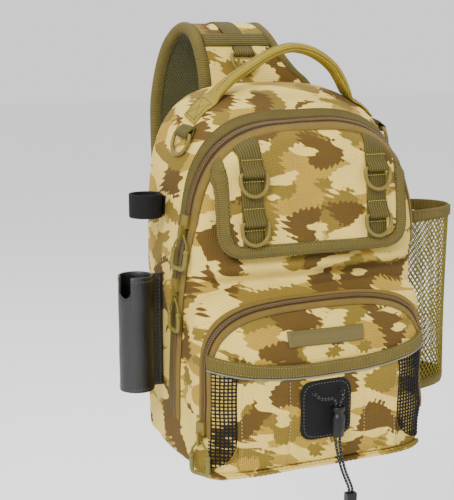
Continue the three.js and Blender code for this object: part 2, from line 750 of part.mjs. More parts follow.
// Pliers holder: a stitched patch, an elastic cord with a lock, and the cord's end
const holderNear = 2 * seamGap + toolPanelThickness;
const holderFar = holderNear + holderThickness;
function makePliersHolder() {
  const patch = roundedRectangle(holderWidth, holderHeight, 14, holderCentreX, holderTop - holderHeight / 2);
  const ahead = box(-reach, reach, -reach, frontY - pocketDepth / 2, -reach, reach);
  addPart('pliers_patch', layer(pocketSkin, prismAlongY(patch, 4).intersect(ahead), holderNear, holderFar),
    looks.black);
  const faceAt = (x, z) => faceY(pocketSkin(holderFar), x, z);
  const lockX = holderCentreX + 9;
  const lockTop = holderTop - holderHeight * 0.42;
  const lockY = faceAt(lockX, lockTop - lockLength / 2) - lockDiameter / 2 - 4 * seamGap;
  const lockZ = lockTop - lockLength / 2;
  const barrel = new THREE.LatheGeometry([
    new THREE.Vector2(0, -lockLength / 2),
    new THREE.Vector2(lockDiameter * 0.42, -lockLength / 2),
    new THREE.Vector2(lockDiameter * 0.5, lockLength * 0.1),
    new THREE.Vector2(lockDiameter * 0.42, lockLength * 0.24),
    new THREE.Vector2(lockDiameter * 0.34, lockLength * 0.26),
    new THREE.Vector2(lockDiameter * 0.34, lockLength * 0.34),
    new THREE.Vector2(lockDiameter * 0.46, lockLength * 0.36),
    new THREE.Vector2(lockDiameter * 0.46, lockLength / 2),
    new THREE.Vector2(0, lockLength / 2),
  ], 12);
  barrel.rotateX(Math.PI / 2);
  barrel.translate(lockX, lockY, lockZ);
  addPart('cord_lock', toSolid(barrel), looks.black);

  const side = lockDiameter * 0.17;
  const endZ = -25;
  const endX = lockX + 18;
  const toggleTop = endZ;
  const toggle = box(endX - toggleWidth / 2, endX + toggleWidth / 2,
    lockY - toggleWidth / 3, lockY + toggleWidth / 3, toggleTop - toggleLength, toggleTop);
  addPart('cord_end', toggle, looks.black);
  const tube = bungeeDiameter / 2;
  [['left', -1], ['right', 1]].forEach(([name, sign]) => {
    const holeX = holderCentreX + sign * holderWidth * 0.28;
    const holeZ = holderTop - holderHeight * 0.2;
    const holeY = faceAt(holeX, holeZ) - seamGap;
    const upper = new THREE.CatmullRomCurve3([
      new THREE.Vector3(holeX, holeY, holeZ),
      new THREE.Vector3(holeX, holeY - 7, holeZ + 1),
      new THREE.Vector3(holeX - sign * 4, holeY - 11, holeZ - 3),
      new THREE.Vector3(lockX + sign * side * 2, lockY - 1, lockZ + lockLength / 2 + 9),
      new THREE.Vector3(lockX + sign * side, lockY, lockZ + lockLength / 2 + 4),
      new THREE.Vector3(lockX + sign * side, lockY, lockZ + lockLength / 2 + 2 * seamGap),
    ]);
    const lower = new THREE.CatmullRomCurve3([
      new THREE.Vector3(lockX + sign * side, lockY, lockZ - lockLength / 2 - seamGap),
      new THREE.Vector3(lockX + 1 + sign * side * 0.9, lockY, lockZ - lockLength / 2 - 12),
      new THREE.Vector3(lockX + 8 + sign * side * 0.75, lockY, lockZ - lockLength / 2 - 40),
      new THREE.Vector3(endX + sign * side * 0.75, lockY, toggleTop + 4),
      new THREE.Vector3(endX + sign * side * 0.75, lockY, toggleTop + 2 * seamGap),
    ]);
    [['loop', upper, 7], ['tail', lower, 7]].forEach(([part, curve, steps]) => {
      addPart(`bungee_${part}_${name}`, cordGeometry(curve, tube, steps), looks.black);
    });
  });
}

const cordSides = 8;
function cordGeometry(curve, radius, steps) {
  const section = new THREE.Shape(Array.from({ length: cordSides }, (_, i) => {
    const angle = 2 * Math.PI * i / cordSides;
    return new THREE.Vector2(radius * Math.cos(angle), radius * Math.sin(angle));
  }));
  return toSolid(new THREE.ExtrudeGeometry(section, { extrudePath: curve, steps, bevelEnabled: false }));
}

// A flat piece swept along stations. Each station has a centre, a direction across the piece, a
// direction out of its face, and the outline of its section as pairs of across and out.
function sweep(stations) {
  const points = stations.flatMap(({ centre, across, out, section }) => section.map(([u, v]) => centre.clone()
    .addScaledVector(across, u)
    .addScaledVector(out, v)));
  const count = stations[0].section.length;
  const index = [];
  for (let i = 0; i < stations.length - 1; i += 1) {
    for (let j = 0; j < count; j += 1) {
      const near = i * count;
      const k = (j + 1) % count;
      index.push(near + j, near + k, near + count + k, near + j, near + count + k, near + count + j);
    }
  }
  const outline = stations[0].section.map(([u, v]) => new THREE.Vector2(u, v));
  const turned = THREE.ShapeUtils.isClockWise(outline);
  const end = (stations.length - 1) * count;
  THREE.ShapeUtils.triangulateShape(outline, []).forEach(([a, b, c]) => {
    const [p, q] = turned ? [c, b] : [b, c];
    index.push(a, q, p, end + a, end + p, end + q);
  });
  return indexedGeometry(points, index);
}

// Rounded slab section, width across by thickness out
function slabSection(width, thickness, corner) {
  const w = width / 2;
  const t = thickness / 2;
  return [
    [-w + corner, -t], [w - corner, -t], [w, -t + corner], [w, t - corner],
    [w - corner, t], [-w + corner, t], [-w, t - corner], [-w, -t + corner],
  ];
}

// Directions out of a run of points that bends in a plane whose normal is roughly the across axis
function framesAlong(points, across) {
  return points.map((point, i) => {
    const before = points[Math.max(i - 1, 0)];
    const after = points[Math.min(i + 1, points.length - 1)];
    const along = new THREE.Vector3().subVectors(after, before).normalize();
    const out = new THREE.Vector3().crossVectors(across, along).normalize();
    const side = new THREE.Vector3().crossVectors(along, out).normalize();
    return { centre: point, across: side, out };
  });
}

// Carry handle: flat sewn ends on the bag, a rolled grip that leans to the right between them.
// Across is a share of half the grip's span, rise a share of its height, grip 0 flat to 1 rolled.
const handleRows = [
  { across: -1, rise: 0, grip: 0.35 },
  { across: -0.8, rise: 0.27, grip: 0.8 },
  { across: -0.48, rise: 0.59, grip: 1 },
  { across: -0.18, rise: 0.86, grip: 1 },
  { across: 0.1, rise: 1, grip: 1 },
  { across: 0.36, rise: 0.97, grip: 1 },
  { across: 0.6, rise: 0.82, grip: 1 },
  { across: 0.84, rise: 0.53, grip: 1 },
  { across: 0.98, rise: 0.2, grip: 0.8 },
  { across: 1.04, rise: 0, grip: 0.35 },
];
const patchShares = [1, 0.88, 0.77];
function makeHandle() {
  const patchMiddle = bodySkin(seamGap + handlePatchThickness / 2);
  const onBag = (x) => hit(patchMiddle, new THREE.Vector3(x, handleY, reach), new THREE.Vector3(0, 0, -1));
  const foot = onBag(handleHalfGrip).z + handleThickness / 2;
  const patch = patchShares.map((share) => share * handleHalfSpan);
  const run = [
    ...patch.map((x) => ({ point: onBag(-x), grip: 0 })),
    ...handleRows.map(({ across, rise, grip }) => ({
      point: new THREE.Vector3(handleHalfGrip * across, handleY, foot + (handleTop - foot) * rise),
      grip,
    })),
    ...patch.reverse().map((x) => ({ point: onBag(x), grip: 0 })),
  ];
  const frames = framesAlong(run.map(({ point }) => point), new THREE.Vector3(0, 1, 0));
  const mix = THREE.MathUtils.lerp;
  const stations = frames.map((frame, i) => {
    const width = mix(handlePatchWidth, handleTubeWidth, run[i].grip);
    const thickness = mix(handlePatchThickness, handleThickness, run[i].grip);
    return { ...frame, section: slabSection(width, thickness, thickness * 0.28) };
  });
  addPart('carry_handle', toSolid(sweep(stations)).subtract(bodySkin(seamGap)), looks.handle);
}

// Shoulder strap run, in shares: out of the strap's reach behind the back panel, up of its rise
// from the root to the crown, aside and width of the strap's width.
const strapRows = [
  { out: 0.068, up: 0.0, aside: 0.06, width: 1.46 },
  { out: 0.075, up: 0.425, aside: 0.05, width: 1.43 },
  { out: 0.103, up: 0.588, aside: -0.05, width: 1.24 },
  { out: 0.155, up: 0.751, aside: -0.135, width: 1.1 },
  { out: 0.25, up: 0.89, aside: -0.18, width: 1.03 },
  { out: 0.379, up: 0.971, aside: -0.205, width: 1.0 },
  { out: 0.526, up: 1.0, aside: -0.21, width: 1.02 },
  { out: 0.672, up: 0.963, aside: -0.25, width: 1.0 },
  { out: 0.802, up: 0.857, aside: -0.3, width: 1.0 },
  { out: 0.897, up: 0.702, aside: -0.34, width: 1.0 },
  { out: 0.957, up: 0.49, aside: -0.38, width: 1.0 },
  { out: 0.991, up: 0.229, aside: -0.41, width: 1.0 },
  { out: 1.0, up: -0.057, aside: -0.42, width: 0.98 },
  { out: 0.965, up: -0.4, aside: -0.43, width: 0.96 },
  { out: 0.88, up: -0.8, aside: -0.45, width: 0.88 },
  { out: 0.75, up: -1.176, aside: -0.49, width: 0.7 },
  { out: 0.7, up: -1.3, aside: -0.51, width: 0.55 },
];
// The webbing that runs from the pad down to the corner of the bag, in the same shares
const tailRows = [
  { out: 0.685, up: -1.335, aside: -0.515 },
  { out: 0.6, up: -1.53, aside: -0.56 },
  { out: 0.48, up: -1.8, aside: -0.64 },
  { out: 0.34, up: -2.08, aside: -0.74 },
  { out: 0.2, up: -2.34, aside: -0.85 },
  { out: 0.115, up: -2.52, aside: -0.92 },
  { out: 0.085, up: -2.66, aside: -0.95 },
];
const strapTotal = strapThickness + seamGap + liningThickness;

function strapPoint(row) {
  return new THREE.Vector3(
    strapWidth * row.aside,
    backY + strapReach * row.out,
    strapRoot + (strapCrown - strapTotal / 2 - strapBindingThickness - strapRoot) * row.up,
  );
}

function strapFrames() {
  const across = new THREE.Vector3(1, 0, 0);
  return framesAlong(strapRows.map(strapPoint), across).map((frame, i) => ({
    centre: frame.centre,
    across,
    out: frame.out.setX(0).normalize(),
    width: strapWidth * strapRows[i].width,
  }));
}

function mixFrames(near, far, share) {
  return {
    centre: near.centre.clone().lerp(far.centre, share),
    across: near.across,
    out: near.out.clone().lerp(far.out, share).normalize(),
    width: THREE.MathUtils.lerp(near.width, far.width, share),
  };
}

// Every strap layer is a sweep between two depths; depth 0 is the lining's inner face
function strapLayer(frames, low, high, widthOf, corner = 0) {
  return sweep(frames.map((frame) => {
    const half = widthOf(frame) / 2;
    const thickness = high - low;
    return {
      ...frame,
      centre: frame.centre.clone().addScaledVector(frame.out, (low + high - strapTotal) / 2),
      section: corner > 0 ? slabSection(2 * half, thickness, corner) : [
        [-half, -thickness / 2], [half, -thickness / 2], [half, thickness / 2], [-half, thickness / 2],
      ],
    };
  }));
}

// Folded binding around one edge of the strap: a C-shaped section
function strapBinding(frames, sign) {
  const t = strapBindingThickness;
  return sweep(frames.map((frame) => {
    const edge = frame.width / 2;
    const inner = edge - strapBindingWidth;
    const half = strapTotal / 2;
    const gap = 2 * seamGap;
    const section = [
      [inner, half + gap], [edge + gap, half + gap], [edge + gap, -half - gap], [inner, -half - gap],
      [inner, -half - gap - t], [edge + gap + t, -half - gap - t],
      [edge + gap + t, half + gap + t], [inner, half + gap + t],
    ].map(([u, v]) => [sign * u, v]);
    return { ...frame, section };
  }));
}

function makeStrap() {
  const frames = strapFrames();
  const bodyClear = bodySkin(seamGap);
  const full = (frame) => frame.width;
  addPart('strap_lining', strapLayer(frames, 0, liningThickness, full), looks.lining);
  addPart('strap_pad', strapLayer(frames, liningThickness + seamGap, strapTotal, full, padBevel), looks.camo);
  [['left', -1], ['right', 1]].forEach(([side, sign]) => {
    addPart(`strap_binding_${side}`, toSolid(strapBinding(frames, sign)).subtract(bodyClear), looks.olive);
  });

  // Webbing sewn on the camo face near the crown: a band across it and one along it
  const low = strapTotal + seamGap;
  const clearWidth = (frame) => frame.width - 2 * strapBindingWidth - 2 * seamGap;
  const start = mixFrames(frames[3], frames[4], webbingStart);
  const across = strapLayer([start, frames[4]], low, low + webbingThickness, clearWidth);
  const along = strapLayer(frames.slice(4, 10), low, low + webbingThickness, () => webbingWidth);
  addPart('strap_webbing', toSolid(across).add(toSolid(along)), looks.olive);

  // D-ring on the camo face, below the band
  const near = frames[2];
  const far = frames[3];
  const bar = near.centre.clone().lerp(far.centre, strapRingShare);
  const up = new THREE.Vector3().subVectors(far.centre, near.centre).setX(0).normalize();
  const outward = new THREE.Vector3(0, -up.z, up.y);
  bar.addScaledVector(outward, strapTotal / 2 + seamGap + loopRadius);
  const seat = seatFrame(bar, outward, up);
  addPart('strap_ring_loop', toSolid(webbingLoop(webbingThickness * 6, webbingWidth).applyMatrix4(seat)),
    looks.olive);
  addRing('ring_strap', seat);

  // Lower webbing, its buckle, and the tab that anchors it to the back panel
  const tail = framesAlong(tailRows.map(strapPoint), new THREE.Vector3(1, 0, 0));
  const section = slabSection(lowerWebbingWidth, webbingThickness, seamGap);
  const web = sweep(tail.map((frame) => ({ ...frame, section })));
  addPart('lower_webbing', web, looks.olive);
  const hold = tail[2];
  const frame = new THREE.Matrix4().makeBasis(
    hold.across,
    hold.out,
    new THREE.Vector3().crossVectors(hold.across, hold.out),
  ).setPosition(hold.centre);
  const buckle = new THREE.BoxGeometry(lowerWebbingWidth + 10, buckleThickness, buckleHeight);
  const slot = new THREE.BoxGeometry(
    lowerWebbingWidth + 4 * seamGap, webbingThickness + 4 * seamGap, buckleHeight * 2,
  );
  addPart('strap_buckle', toSolid(buckle).subtract(toSolid(slot)).transform(frame.elements), looks.black);
  const end = tail[tail.length - 1].centre;
  const tab = box(end.x - lowerWebbingWidth * 0.62, end.x + lowerWebbingWidth * 0.62,
    backY + seamGap, end.y - webbingThickness / 2 - 2 * seamGap,
    end.z - anchorHeight * 0.35, end.z + anchorHeight * 0.65);
  addPart('strap_anchor', tab.subtract(toSolid(web)), looks.camo);
}

function makeBackPad() {
  const width = bagWidth * 0.79;
  const low = bagHeight * 0.18;
  const high = strapRoot - 6;
  const height = high - low;
  const shape = roundedRectangle(width - 2 * padBevel, height - 2 * padBevel, padCorner, 0, low + height / 2);
  const geometry = new THREE.ExtrudeGeometry(shape, {
    depth: backPadThickness - padBevel, bevelEnabled: true, bevelThickness: padBevel, bevelSize: padBevel,
    bevelSegments: 1, curveSegments: 4,
  });
  geometry.rotateX(Math.PI / 2);
  geometry.translate(0, backY + seamGap + backPadThickness - padBevel, 0);
  const behind = box(-reach, reach, backY + seamGap, reach, -reach, reach);
  addPart('back_pad', toSolid(geometry).intersect(behind), looks.lining);
}

// Bottle pocket on the right side: an open-topped net wall with a bound rim and a cloth floor
function bottleOutline(grow) {
  return Array.from({ length: netFacets + 1 }, (_, i) => {
    const angle = Math.PI * i / netFacets;
    return [
      halfWidth + seamGap + (bottleReach + grow) * Math.sin(angle) ** 0.8,
      bottleY - (bottleWidth / 2 + grow) * Math.cos(angle),
    ];
  });
}

function bottlePrism(grow, low, high) {
  const shape = new THREE.Shape(bottleOutline(grow).map(([x, y]) => new THREE.Vector2(x, y)));
  const geometry = new THREE.ExtrudeGeometry(shape, { depth: high - low, bevelEnabled: false });
  geometry.translate(0, 0, low);
  return toSolid(geometry);
}

function bottleWall(near, far, low, high) {
  const room = bottlePrism(near, low - 1, high + 1);
  return bottlePrism(far, low, high).subtract(room.add(room.translate([-1, 0, 0])));
}

const netGapWidth = 0.62;
const netGapHeight = 0.66;
function makeBottlePocket() {
  const netLow = bottleBottom + bottleFloorHeight;
  const netHigh = bottleTop - bottleBandHeight;
  const tapes = zipStrip(-weltWidth - zipTapeWidth / 2 - seamGap, zipTapeWidth + gussetBandWidth);
  const clear = bodySkin(seamGap).add(tapes.intersect(bodySkin(2 * seamGap + tapeThickness)));
  const wall = bottleOutline(0);
  let net = bottleWall(-netThickness, 0, netLow + seamGap, netHigh - seamGap);
  const pitchZ = (netHigh - netLow) / (netRows + 0.5);
  for (let column = 0; column < netColumns; column += 1) {
    const [x0, y0] = wall[2 * column];
    const [x1, y1] = wall[2 * column + 1];
    const gap = new THREE.BoxGeometry(
      Math.hypot(x1 - x0, y1 - y0) * netGapWidth, 4 * bottleBandHeight, pitchZ * netGapHeight,
    );
    gap.rotateZ(Math.atan2(y1 - y0, x1 - x0));
    for (let row = 0; row < netRows; row += 1) {
      const hole = gap.clone().translate((x0 + x1) / 2, (y0 + y1) / 2, netLow + pitchZ * (row + 0.75));
      net = net.subtract(toSolid(hole));
    }
  }
  addPart('bottle_net', net.subtract(clear), looks.olive);
  const rim = bottleWall(-netThickness - seamGap, netThickness, netHigh, bottleTop);
  addPart('bottle_rim', rim.subtract(clear), looks.olive);
  const room = bottlePrism(-fabricWall, bottleBottom + fabricWall, netLow + 1);
  const floor = bottlePrism(seamGap, bottleBottom, netLow).subtract(room).subtract(clear);
  addPart('bottle_floor', floor, looks.olive);
}

// Rod sleeve: a split tube with a sewn flange, and a notch for a reel's foot in its top
function makeRodSleeve() {
  const outer = sleeveDiameter / 2;
  const inner = outer - sleeveWall;
  const centreX = -halfWidth - sleeveStandOff - outer;
  const shape = new THREE.Shape();
  const flange = sleeveWall * 1.6;
  const opening = Math.asin(flange / outer);
  shape.absarc(0, 0, outer, opening, 2 * Math.PI - 0.001, false);
  shape.lineTo(outer + sleeveStandOff - seamGap, 0);
  shape.lineTo(outer + sleeveStandOff - seamGap, flange);
  const bore = new THREE.Path();
  bore.absarc(0, 0, inner, 0, 2 * Math.PI, false);
  shape.holes.push(bore);
  const tube = new THREE.ExtrudeGeometry(shape, {
    depth: sleeveHeight, bevelEnabled: false, curveSegments: roundSteps,
  });
  tube.translate(centreX, rodY, sleeveBottom);
  // the notch faces the front left
  const notch = new THREE.CylinderGeometry(sleeveNotch / 2, sleeveNotch / 2, sleeveDiameter, 12);
  notch.rotateZ(Math.PI / 2);
  notch.translate(-outer - inner * 0.3, 0, sleeveHeight - sleeveNotch);
  const above = new THREE.BoxGeometry(sleeveDiameter, sleeveNotch, sleeveNotch * 2);
  above.translate(-outer - inner * 0.3, 0, sleeveHeight);
  const cut = toSolid(notch).add(toSolid(above)).rotate([0, 0, 30]).translate([centreX, rodY, sleeveBottom]);
  addPart('rod_sleeve', toSolid(tube).subtract(cut).subtract(bodySkin(seamGap)), looks.black);
}

// Rod strap: a hook-and-loop ring higher up, sewn to the side by a short tab
function makeRodStrap() {
  const outer = rodStrapDiameter / 2;
  const centreX = -halfWidth - outer - seamGap;
  const shape = new THREE.Shape();
  shape.absarc(0, 0, outer, 0, 2 * Math.PI, false);
  const bore = new THREE.Path();
  bore.absarc(0, 0, outer - sleeveWall, 0, 2 * Math.PI, false);
  shape.holes.push(bore);
  const ring = new THREE.ExtrudeGeometry(shape, {
    depth: rodStrapHeight, bevelEnabled: false, curveSegments: roundSteps,
  });
  ring.translate(centreX, rodY, rodStrapBottom);
  const tab = box(-reach, 0, rodY - outer * 0.5, rodY + outer * 1.5,
    rodStrapBottom + rodStrapHeight * 0.1, rodStrapBottom + rodStrapHeight * 0.9);
  const onSide = layer(bodySkin, tab, seamGap, seamGap + webbingThickness);
  addPart('rod_strap', toSolid(ring).add(onSide).subtract(bodySkin(seamGap)), looks.black);
}

// Zip pull: slider with a tab, a cord through the tab, and a moulded handle on the cord's ends.
// In seat axes: x across, y into the bag, z up; the slider's back is at y = 0.
function makePull(name, seat) {
  const half = sliderWidth / 2;
  const slider = box(-half, half, -sliderDepth, 0, -sliderWidth * 0.7, sliderWidth * 0.7);
  const tabPlate = box(-tabThickness / 2, tabThickness / 2, -sliderDepth - tabWidth / 2,
    -sliderDepth + tabWidth / 2, -tabDrop, -sliderWidth * 0.4);
  const eyeRadius = pullCord / 2 + 3 * seamGap;
  const eye = new THREE.CylinderGeometry(eyeRadius, eyeRadius, sliderWidth, 8);
  eye.rotateZ(Math.PI / 2);
  const eyeZ = -tabDrop + eyeRadius + 2;
  eye.translate(0, -sliderDepth, eyeZ);
  const metal = slider.add(tabPlate).subtract(toSolid(eye));
  addPart(`slider_${name}`, metal.transform(seat.elements), looks.moulded);

  const armX = (pullHandleWidth - pullHandleBar) / 2;
  const armTop = -tabDrop - pullCordDrop;
  const side = [];
  for (let i = 1; i <= 3; i += 1) {
    const angle = Math.PI * 0.4 * i / 3;
    side.push([cordTurn * Math.sin(angle), eyeZ - cordTurn * (1 - Math.cos(angle))]);
  }
  side.push([armX * 0.9, armTop + 6], [armX, armTop + 3], [armX, armTop + seamGap]);
  const route = [...side.map(([x, z]) => [-x, z]).reverse(), [0, eyeZ], ...side];
  const points = route.map(([x, z]) => new THREE.Vector3(x, -sliderDepth, z).applyMatrix4(seat));
  const curve = new THREE.CatmullRomCurve3(points);
  addPart(`cord_${name}`, cordGeometry(curve, pullCord / 2, pullCordSteps), looks.moulded);

  const right = pullHandleWidth / 2;
  const low = armTop - pullHandleHeight;
  const inner = right - pullHandleBar;
  const corner = pullHandleBar * 0.6;
  const outline = [
    [right, armTop], [right, low + corner], [right - corner, low], [0, low],
  ];
  const inside = [[0, low + pullHandleBar], [inner, low + pullHandleBar], [inner, armTop]];
  const rightHalf = [...inside, ...outline];
  const ring = [...rightHalf, ...rightHalf.slice(1, -1).map(([x, z]) => [-x, z]).reverse()];
  const shape = new THREE.Shape(ring.map(([x, z]) => new THREE.Vector2(x, z)));
  const grip = new THREE.ExtrudeGeometry(shape, { depth: pullHandleBar, bevelEnabled: false });
  grip.rotateX(Math.PI / 2);
  grip.translate(0, -sliderDepth + pullHandleBar / 2, 0);
  addPart(`pull_${name}`, toSolid(grip).transform(seat.elements), looks.moulded);
}

// Seat for a slider on the left side of a skin, facing out of the skin
function sliderSeat(solid, y, z) {
  const at = (back, above) => hit(solid, new THREE.Vector3(-reach, y + back, z + above),
    new THREE.Vector3(1, 0, 0));
  const along = new THREE.Vector3().subVectors(at(sliderWidth, 0), at(-sliderWidth, 0));
  const up = new THREE.Vector3().subVectors(at(0, sliderWidth), at(0, -sliderWidth)).normalize();
  const outward = new THREE.Vector3().crossVectors(along, up).normalize();
  return seatFrame(at(0, 0), outward.x > 0 ? outward.negate() : outward, up);
}

function makePulls() {
  const onTape = 2 * seamGap + tapeThickness;
  const pocketY = frontY - pocketDepth * 0.4;
  makePull('front', sliderSeat(pocketSkin(onTape), pocketY, pocketZipEnd + sliderWidth));
  [['upper', upperSliderHeight], ['lower', lowerSliderHeight]].forEach(([name, z]) => {
    makePull(name, sliderSeat(bodySkin(onTape), zipYAt(z), z));
  });
}

// Depth of the main zip's line at a height
function zipYAt(z) {
  const line = zipLine(0);
  const above = line.findIndex(([, height]) => height > z);
  const [y0, z0] = line[above - 1];
  const [y1, z1] = line[above];
  return THREE.MathUtils.lerp(y0, y1, (z - z0) / (z1 - z0));
}

const group = new THREE.Group();
makeBody();
makeMainZip();
makeUpperPocket();
makeStrips();
makeSideTabs();
makeFrontPocket();
makeToolPocket();
makePliersHolder();
makeHandle();
makeStrap();
makeBackPad();
makeBottlePocket();
makeRodSleeve();
makeRodStrap();
makePulls();

// The shoulder carries the underside of the strap's crown: that place becomes the origin
const crown = strapFrames().reduce((best, frame) => (frame.centre.z > best.centre.z ? frame : best));
const shoulder = crown.centre.clone().addScaledVector(crown.out, -strapTotal / 2);
parts.forEach((mesh) => {
  mesh.geometry.translate(-shoulder.x, -shoulder.y, -shoulder.z);
  group.add(mesh);
});
export default group;
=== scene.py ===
"""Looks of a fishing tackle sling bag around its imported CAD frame.

Shapes are worked out in millimetres, with the bag standing on z = 0, +X to the right and +Y to the
back panel. They are moved to the frame's metres when a mesh is made.
"""
import json
import math

import bmesh
import bpy
import numpy as np
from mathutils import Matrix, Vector
from mathutils.bvhtree import BVHTree


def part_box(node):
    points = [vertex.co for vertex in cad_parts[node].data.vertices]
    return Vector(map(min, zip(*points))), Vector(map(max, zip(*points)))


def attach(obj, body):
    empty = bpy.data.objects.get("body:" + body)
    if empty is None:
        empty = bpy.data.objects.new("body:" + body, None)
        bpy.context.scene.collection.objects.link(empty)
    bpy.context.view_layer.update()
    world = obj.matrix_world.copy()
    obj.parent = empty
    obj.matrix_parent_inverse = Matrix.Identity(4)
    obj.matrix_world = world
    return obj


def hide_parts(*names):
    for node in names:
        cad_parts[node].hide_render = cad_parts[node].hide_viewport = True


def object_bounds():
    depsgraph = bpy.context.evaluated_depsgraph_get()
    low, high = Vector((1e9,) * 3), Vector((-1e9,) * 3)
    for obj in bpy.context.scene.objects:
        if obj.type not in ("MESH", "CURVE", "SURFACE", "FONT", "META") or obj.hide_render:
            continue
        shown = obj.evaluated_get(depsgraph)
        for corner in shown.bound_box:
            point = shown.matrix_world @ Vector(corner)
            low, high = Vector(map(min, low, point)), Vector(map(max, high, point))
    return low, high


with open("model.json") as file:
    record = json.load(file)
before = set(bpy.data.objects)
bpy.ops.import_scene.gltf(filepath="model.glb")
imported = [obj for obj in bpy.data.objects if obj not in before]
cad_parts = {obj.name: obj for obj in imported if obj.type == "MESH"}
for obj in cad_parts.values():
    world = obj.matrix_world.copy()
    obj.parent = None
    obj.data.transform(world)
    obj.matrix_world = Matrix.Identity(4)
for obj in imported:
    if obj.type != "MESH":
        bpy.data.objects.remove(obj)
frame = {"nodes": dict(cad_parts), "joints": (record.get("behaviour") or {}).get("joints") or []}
CAD_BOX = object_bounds()

# Bag
BAG_WIDTH = 284
BAG_HEIGHT = 419
BAG_DEPTH = 150
HALF = BAG_WIDTH / 2
BACK = BAG_DEPTH / 2
FRONT = -BAG_DEPTH / 2
BASE = 51
SPRING = 209
FACE_BULGE = 5
CORNER = 16
ZIP_ARCH = BACK - BAG_DEPTH * 0.85
ZIP_BACK = 30
GAP = 0.3
MIDDLE = (0, 0, 200)
ABOVE = 600
AHEAD = -400

# Zips: edges of their tapes, before and behind the middle of the teeth
MAIN_WELT = (-13.0, -4.6)
MAIN_TAPE = (-4.6, 5)
GUSSET_BAND = (5.3, 17.3)
WELT_HEIGHT = 2.8
BAND_HEIGHT = 1.9
POCKET_OUTER = (1.8, 4.4)
POCKET_TAPE = (-3.0, 1.8)
POCKET_WELT = (-7.4, -3.0)
POCKET_WELT_HEIGHT = 2.3
TOOTH_PITCH = 2.3

# Upper pocket
FLAP_HALF = 115
FLAP_LOW = 239
FLAP_HINGE = 357
FLAP_CORNER = 34
FLAP_LEAN = 0.07
FLAP_STAND = 3
FLAP_THICK = 2
BINDING = 15
STRIP_X = 75
WEBBING = 25
WEBBING_THICK = 1.5

# Front pocket
POCKET_DEPTH = 44
POCKET_HEIGHT = 206
POCKET_SPRING = 109
POCKET_ZIP = FRONT - POCKET_DEPTH * 0.4
BAND_LOW = 111
BAND_WIDE = 15
BAND_RISE = 16
PANEL_LEFT = -104
PANEL_RIGHT = 90
PANEL_LOW = 12.6
SEAMS = (-45, 47)
HOLDER_X = -3
HOLDER_TOP = 106
HOLDER_HALF = (31, 33)
HOLDER_CORNER = 14
HOLDER_SEAM = 3
EYELET_SPREAD = 17.36
EYELET_Z = 92.8
PANEL_END = 131
MESH_PITCH = 4.0
MESH_LIFT = 1.2
MESH_SIDE_LOW = 52
BAND_END = 132
PIPING_Z = 9.3
LABEL_HALF = (46, 8.5)
LABEL_Z = 153
POCKET_MIDDLE = (0, -60, 80)
PANEL_MIDDLE = (0, 0, 80)

# Rings and the loops around their bars
WIRE = 2.2
BAR_HALF = 15.45
RING_LEG = 8
LOOP_BEND = 3.3

# Bottle pocket, rod sleeve and rod strap
BOTTLE_Y = 8
BOTTLE_HALF = 46
BOTTLE_REACH = 87
BOTTLE_NET = 57
BOTTLE_BAND = 256
BOTTLE_TOP = 270
NET_PITCH = 6.4
NET_SLOPE = 0.72
ROD_Y = 15
SLEEVE_X = -174
SLEEVE_RADIUS = 20
SLEEVE_LOW = 77
SLEEVE_TOP = 209
SLEEVE_WALL = 2.4
NOTCH_HALF = 8
ROD_STRAP_RADIUS = 18.5
ROD_STRAP_LOW = 275
ROD_STRAP_HIGH = 301

# Handle and shoulder strap
HANDLE_Y = 6
HANDLE_TOP = 459
HANDLE_GRIP = 80
STRAP_WIDTH = 100
STRAP_REACH = 116
STRAP_ROOT = 361
STRAP_RISE = 121.15
STRAP_TOTAL = 11.3
LINING_THICK = 3
EDGE_BINDING = 11
STRAP_SEAM = 8.5
BAND_THICK = 1.6
TAIL_WIDTH = 38

# Stage, in metres
FLOOR_DROP = 0.42
FLOOR_HALF = 14
LIGHT_AIM = (0, -0.13, -0.25)

low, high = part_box("main_shell")
ORIGIN = np.array(((low.x + high.x) / 2, high.y - BACK / 1000, low.z))


def metres(points):
    """Points of the bag in millimetres as points of the frame in metres."""
    return np.asarray(points, float) / 1000 + ORIGIN


def linked(name, data):
    """A new object in the scene."""
    item = bpy.data.objects.new(name, data)
    bpy.context.scene.collection.objects.link(item)
    return item


# Camera, as the photograph was taken
camera_data = bpy.data.cameras.new("camera")
camera_data.lens = 76.97
camera_data.sensor_width = 36
camera = linked("camera", camera_data)
camera.location = (-0.516, -1.23886, -0.0045)
camera.rotation_euler = (math.radians(78.7), 0, math.radians(-23))
bpy.context.scene.camera = camera


# Shader maths
class Field:
    """A number that varies over a surface. Sums and products of it add Math nodes."""

    def __init__(self, finish, socket):
        self.finish = finish
        self.socket = socket

    def math(self, operation, *others):
        values = dict(enumerate((self, *others)))
        return self.finish.add("ShaderNodeMath", {"operation": operation}, values)

    def after(self, operation, other):
        return self.finish.add("ShaderNodeMath", {"operation": operation}, {0: other, 1: self})

    def __add__(self, other):
        return self.math("ADD", other)

    def __mul__(self, other):
        return self.math("MULTIPLY", other)

    def __sub__(self, other):
        return self.math("SUBTRACT", other)

    def __rsub__(self, other):
        return self.after("SUBTRACT", other)

    def __truediv__(self, other):
        return self.math("DIVIDE", other)

    def __rtruediv__(self, other):
        return self.after("DIVIDE", other)

    __radd__ = __add__
    __rmul__ = __mul__

    def wave(self, length):
        """A sine wave along the field, from 0 to 1, of that length."""
        return (self * (2 * math.pi / length)).math("SINE") * 0.5 + 0.5

    def moved(self, x, y, z):
        """The field as a vector, shifted."""
        return self.finish.add("ShaderNodeVectorMath", {"operation": "ADD"}, {0: self, 1: (x, y, z)})

    def above(self, edge, soft=0.01):
        """1 where the field is above the edge, 0 below it."""
        return self.finish.add("ShaderNodeMapRange", {"interpolation_type": "SMOOTHSTEP"},
                               {0: self, 1: edge - soft, 2: edge + soft})


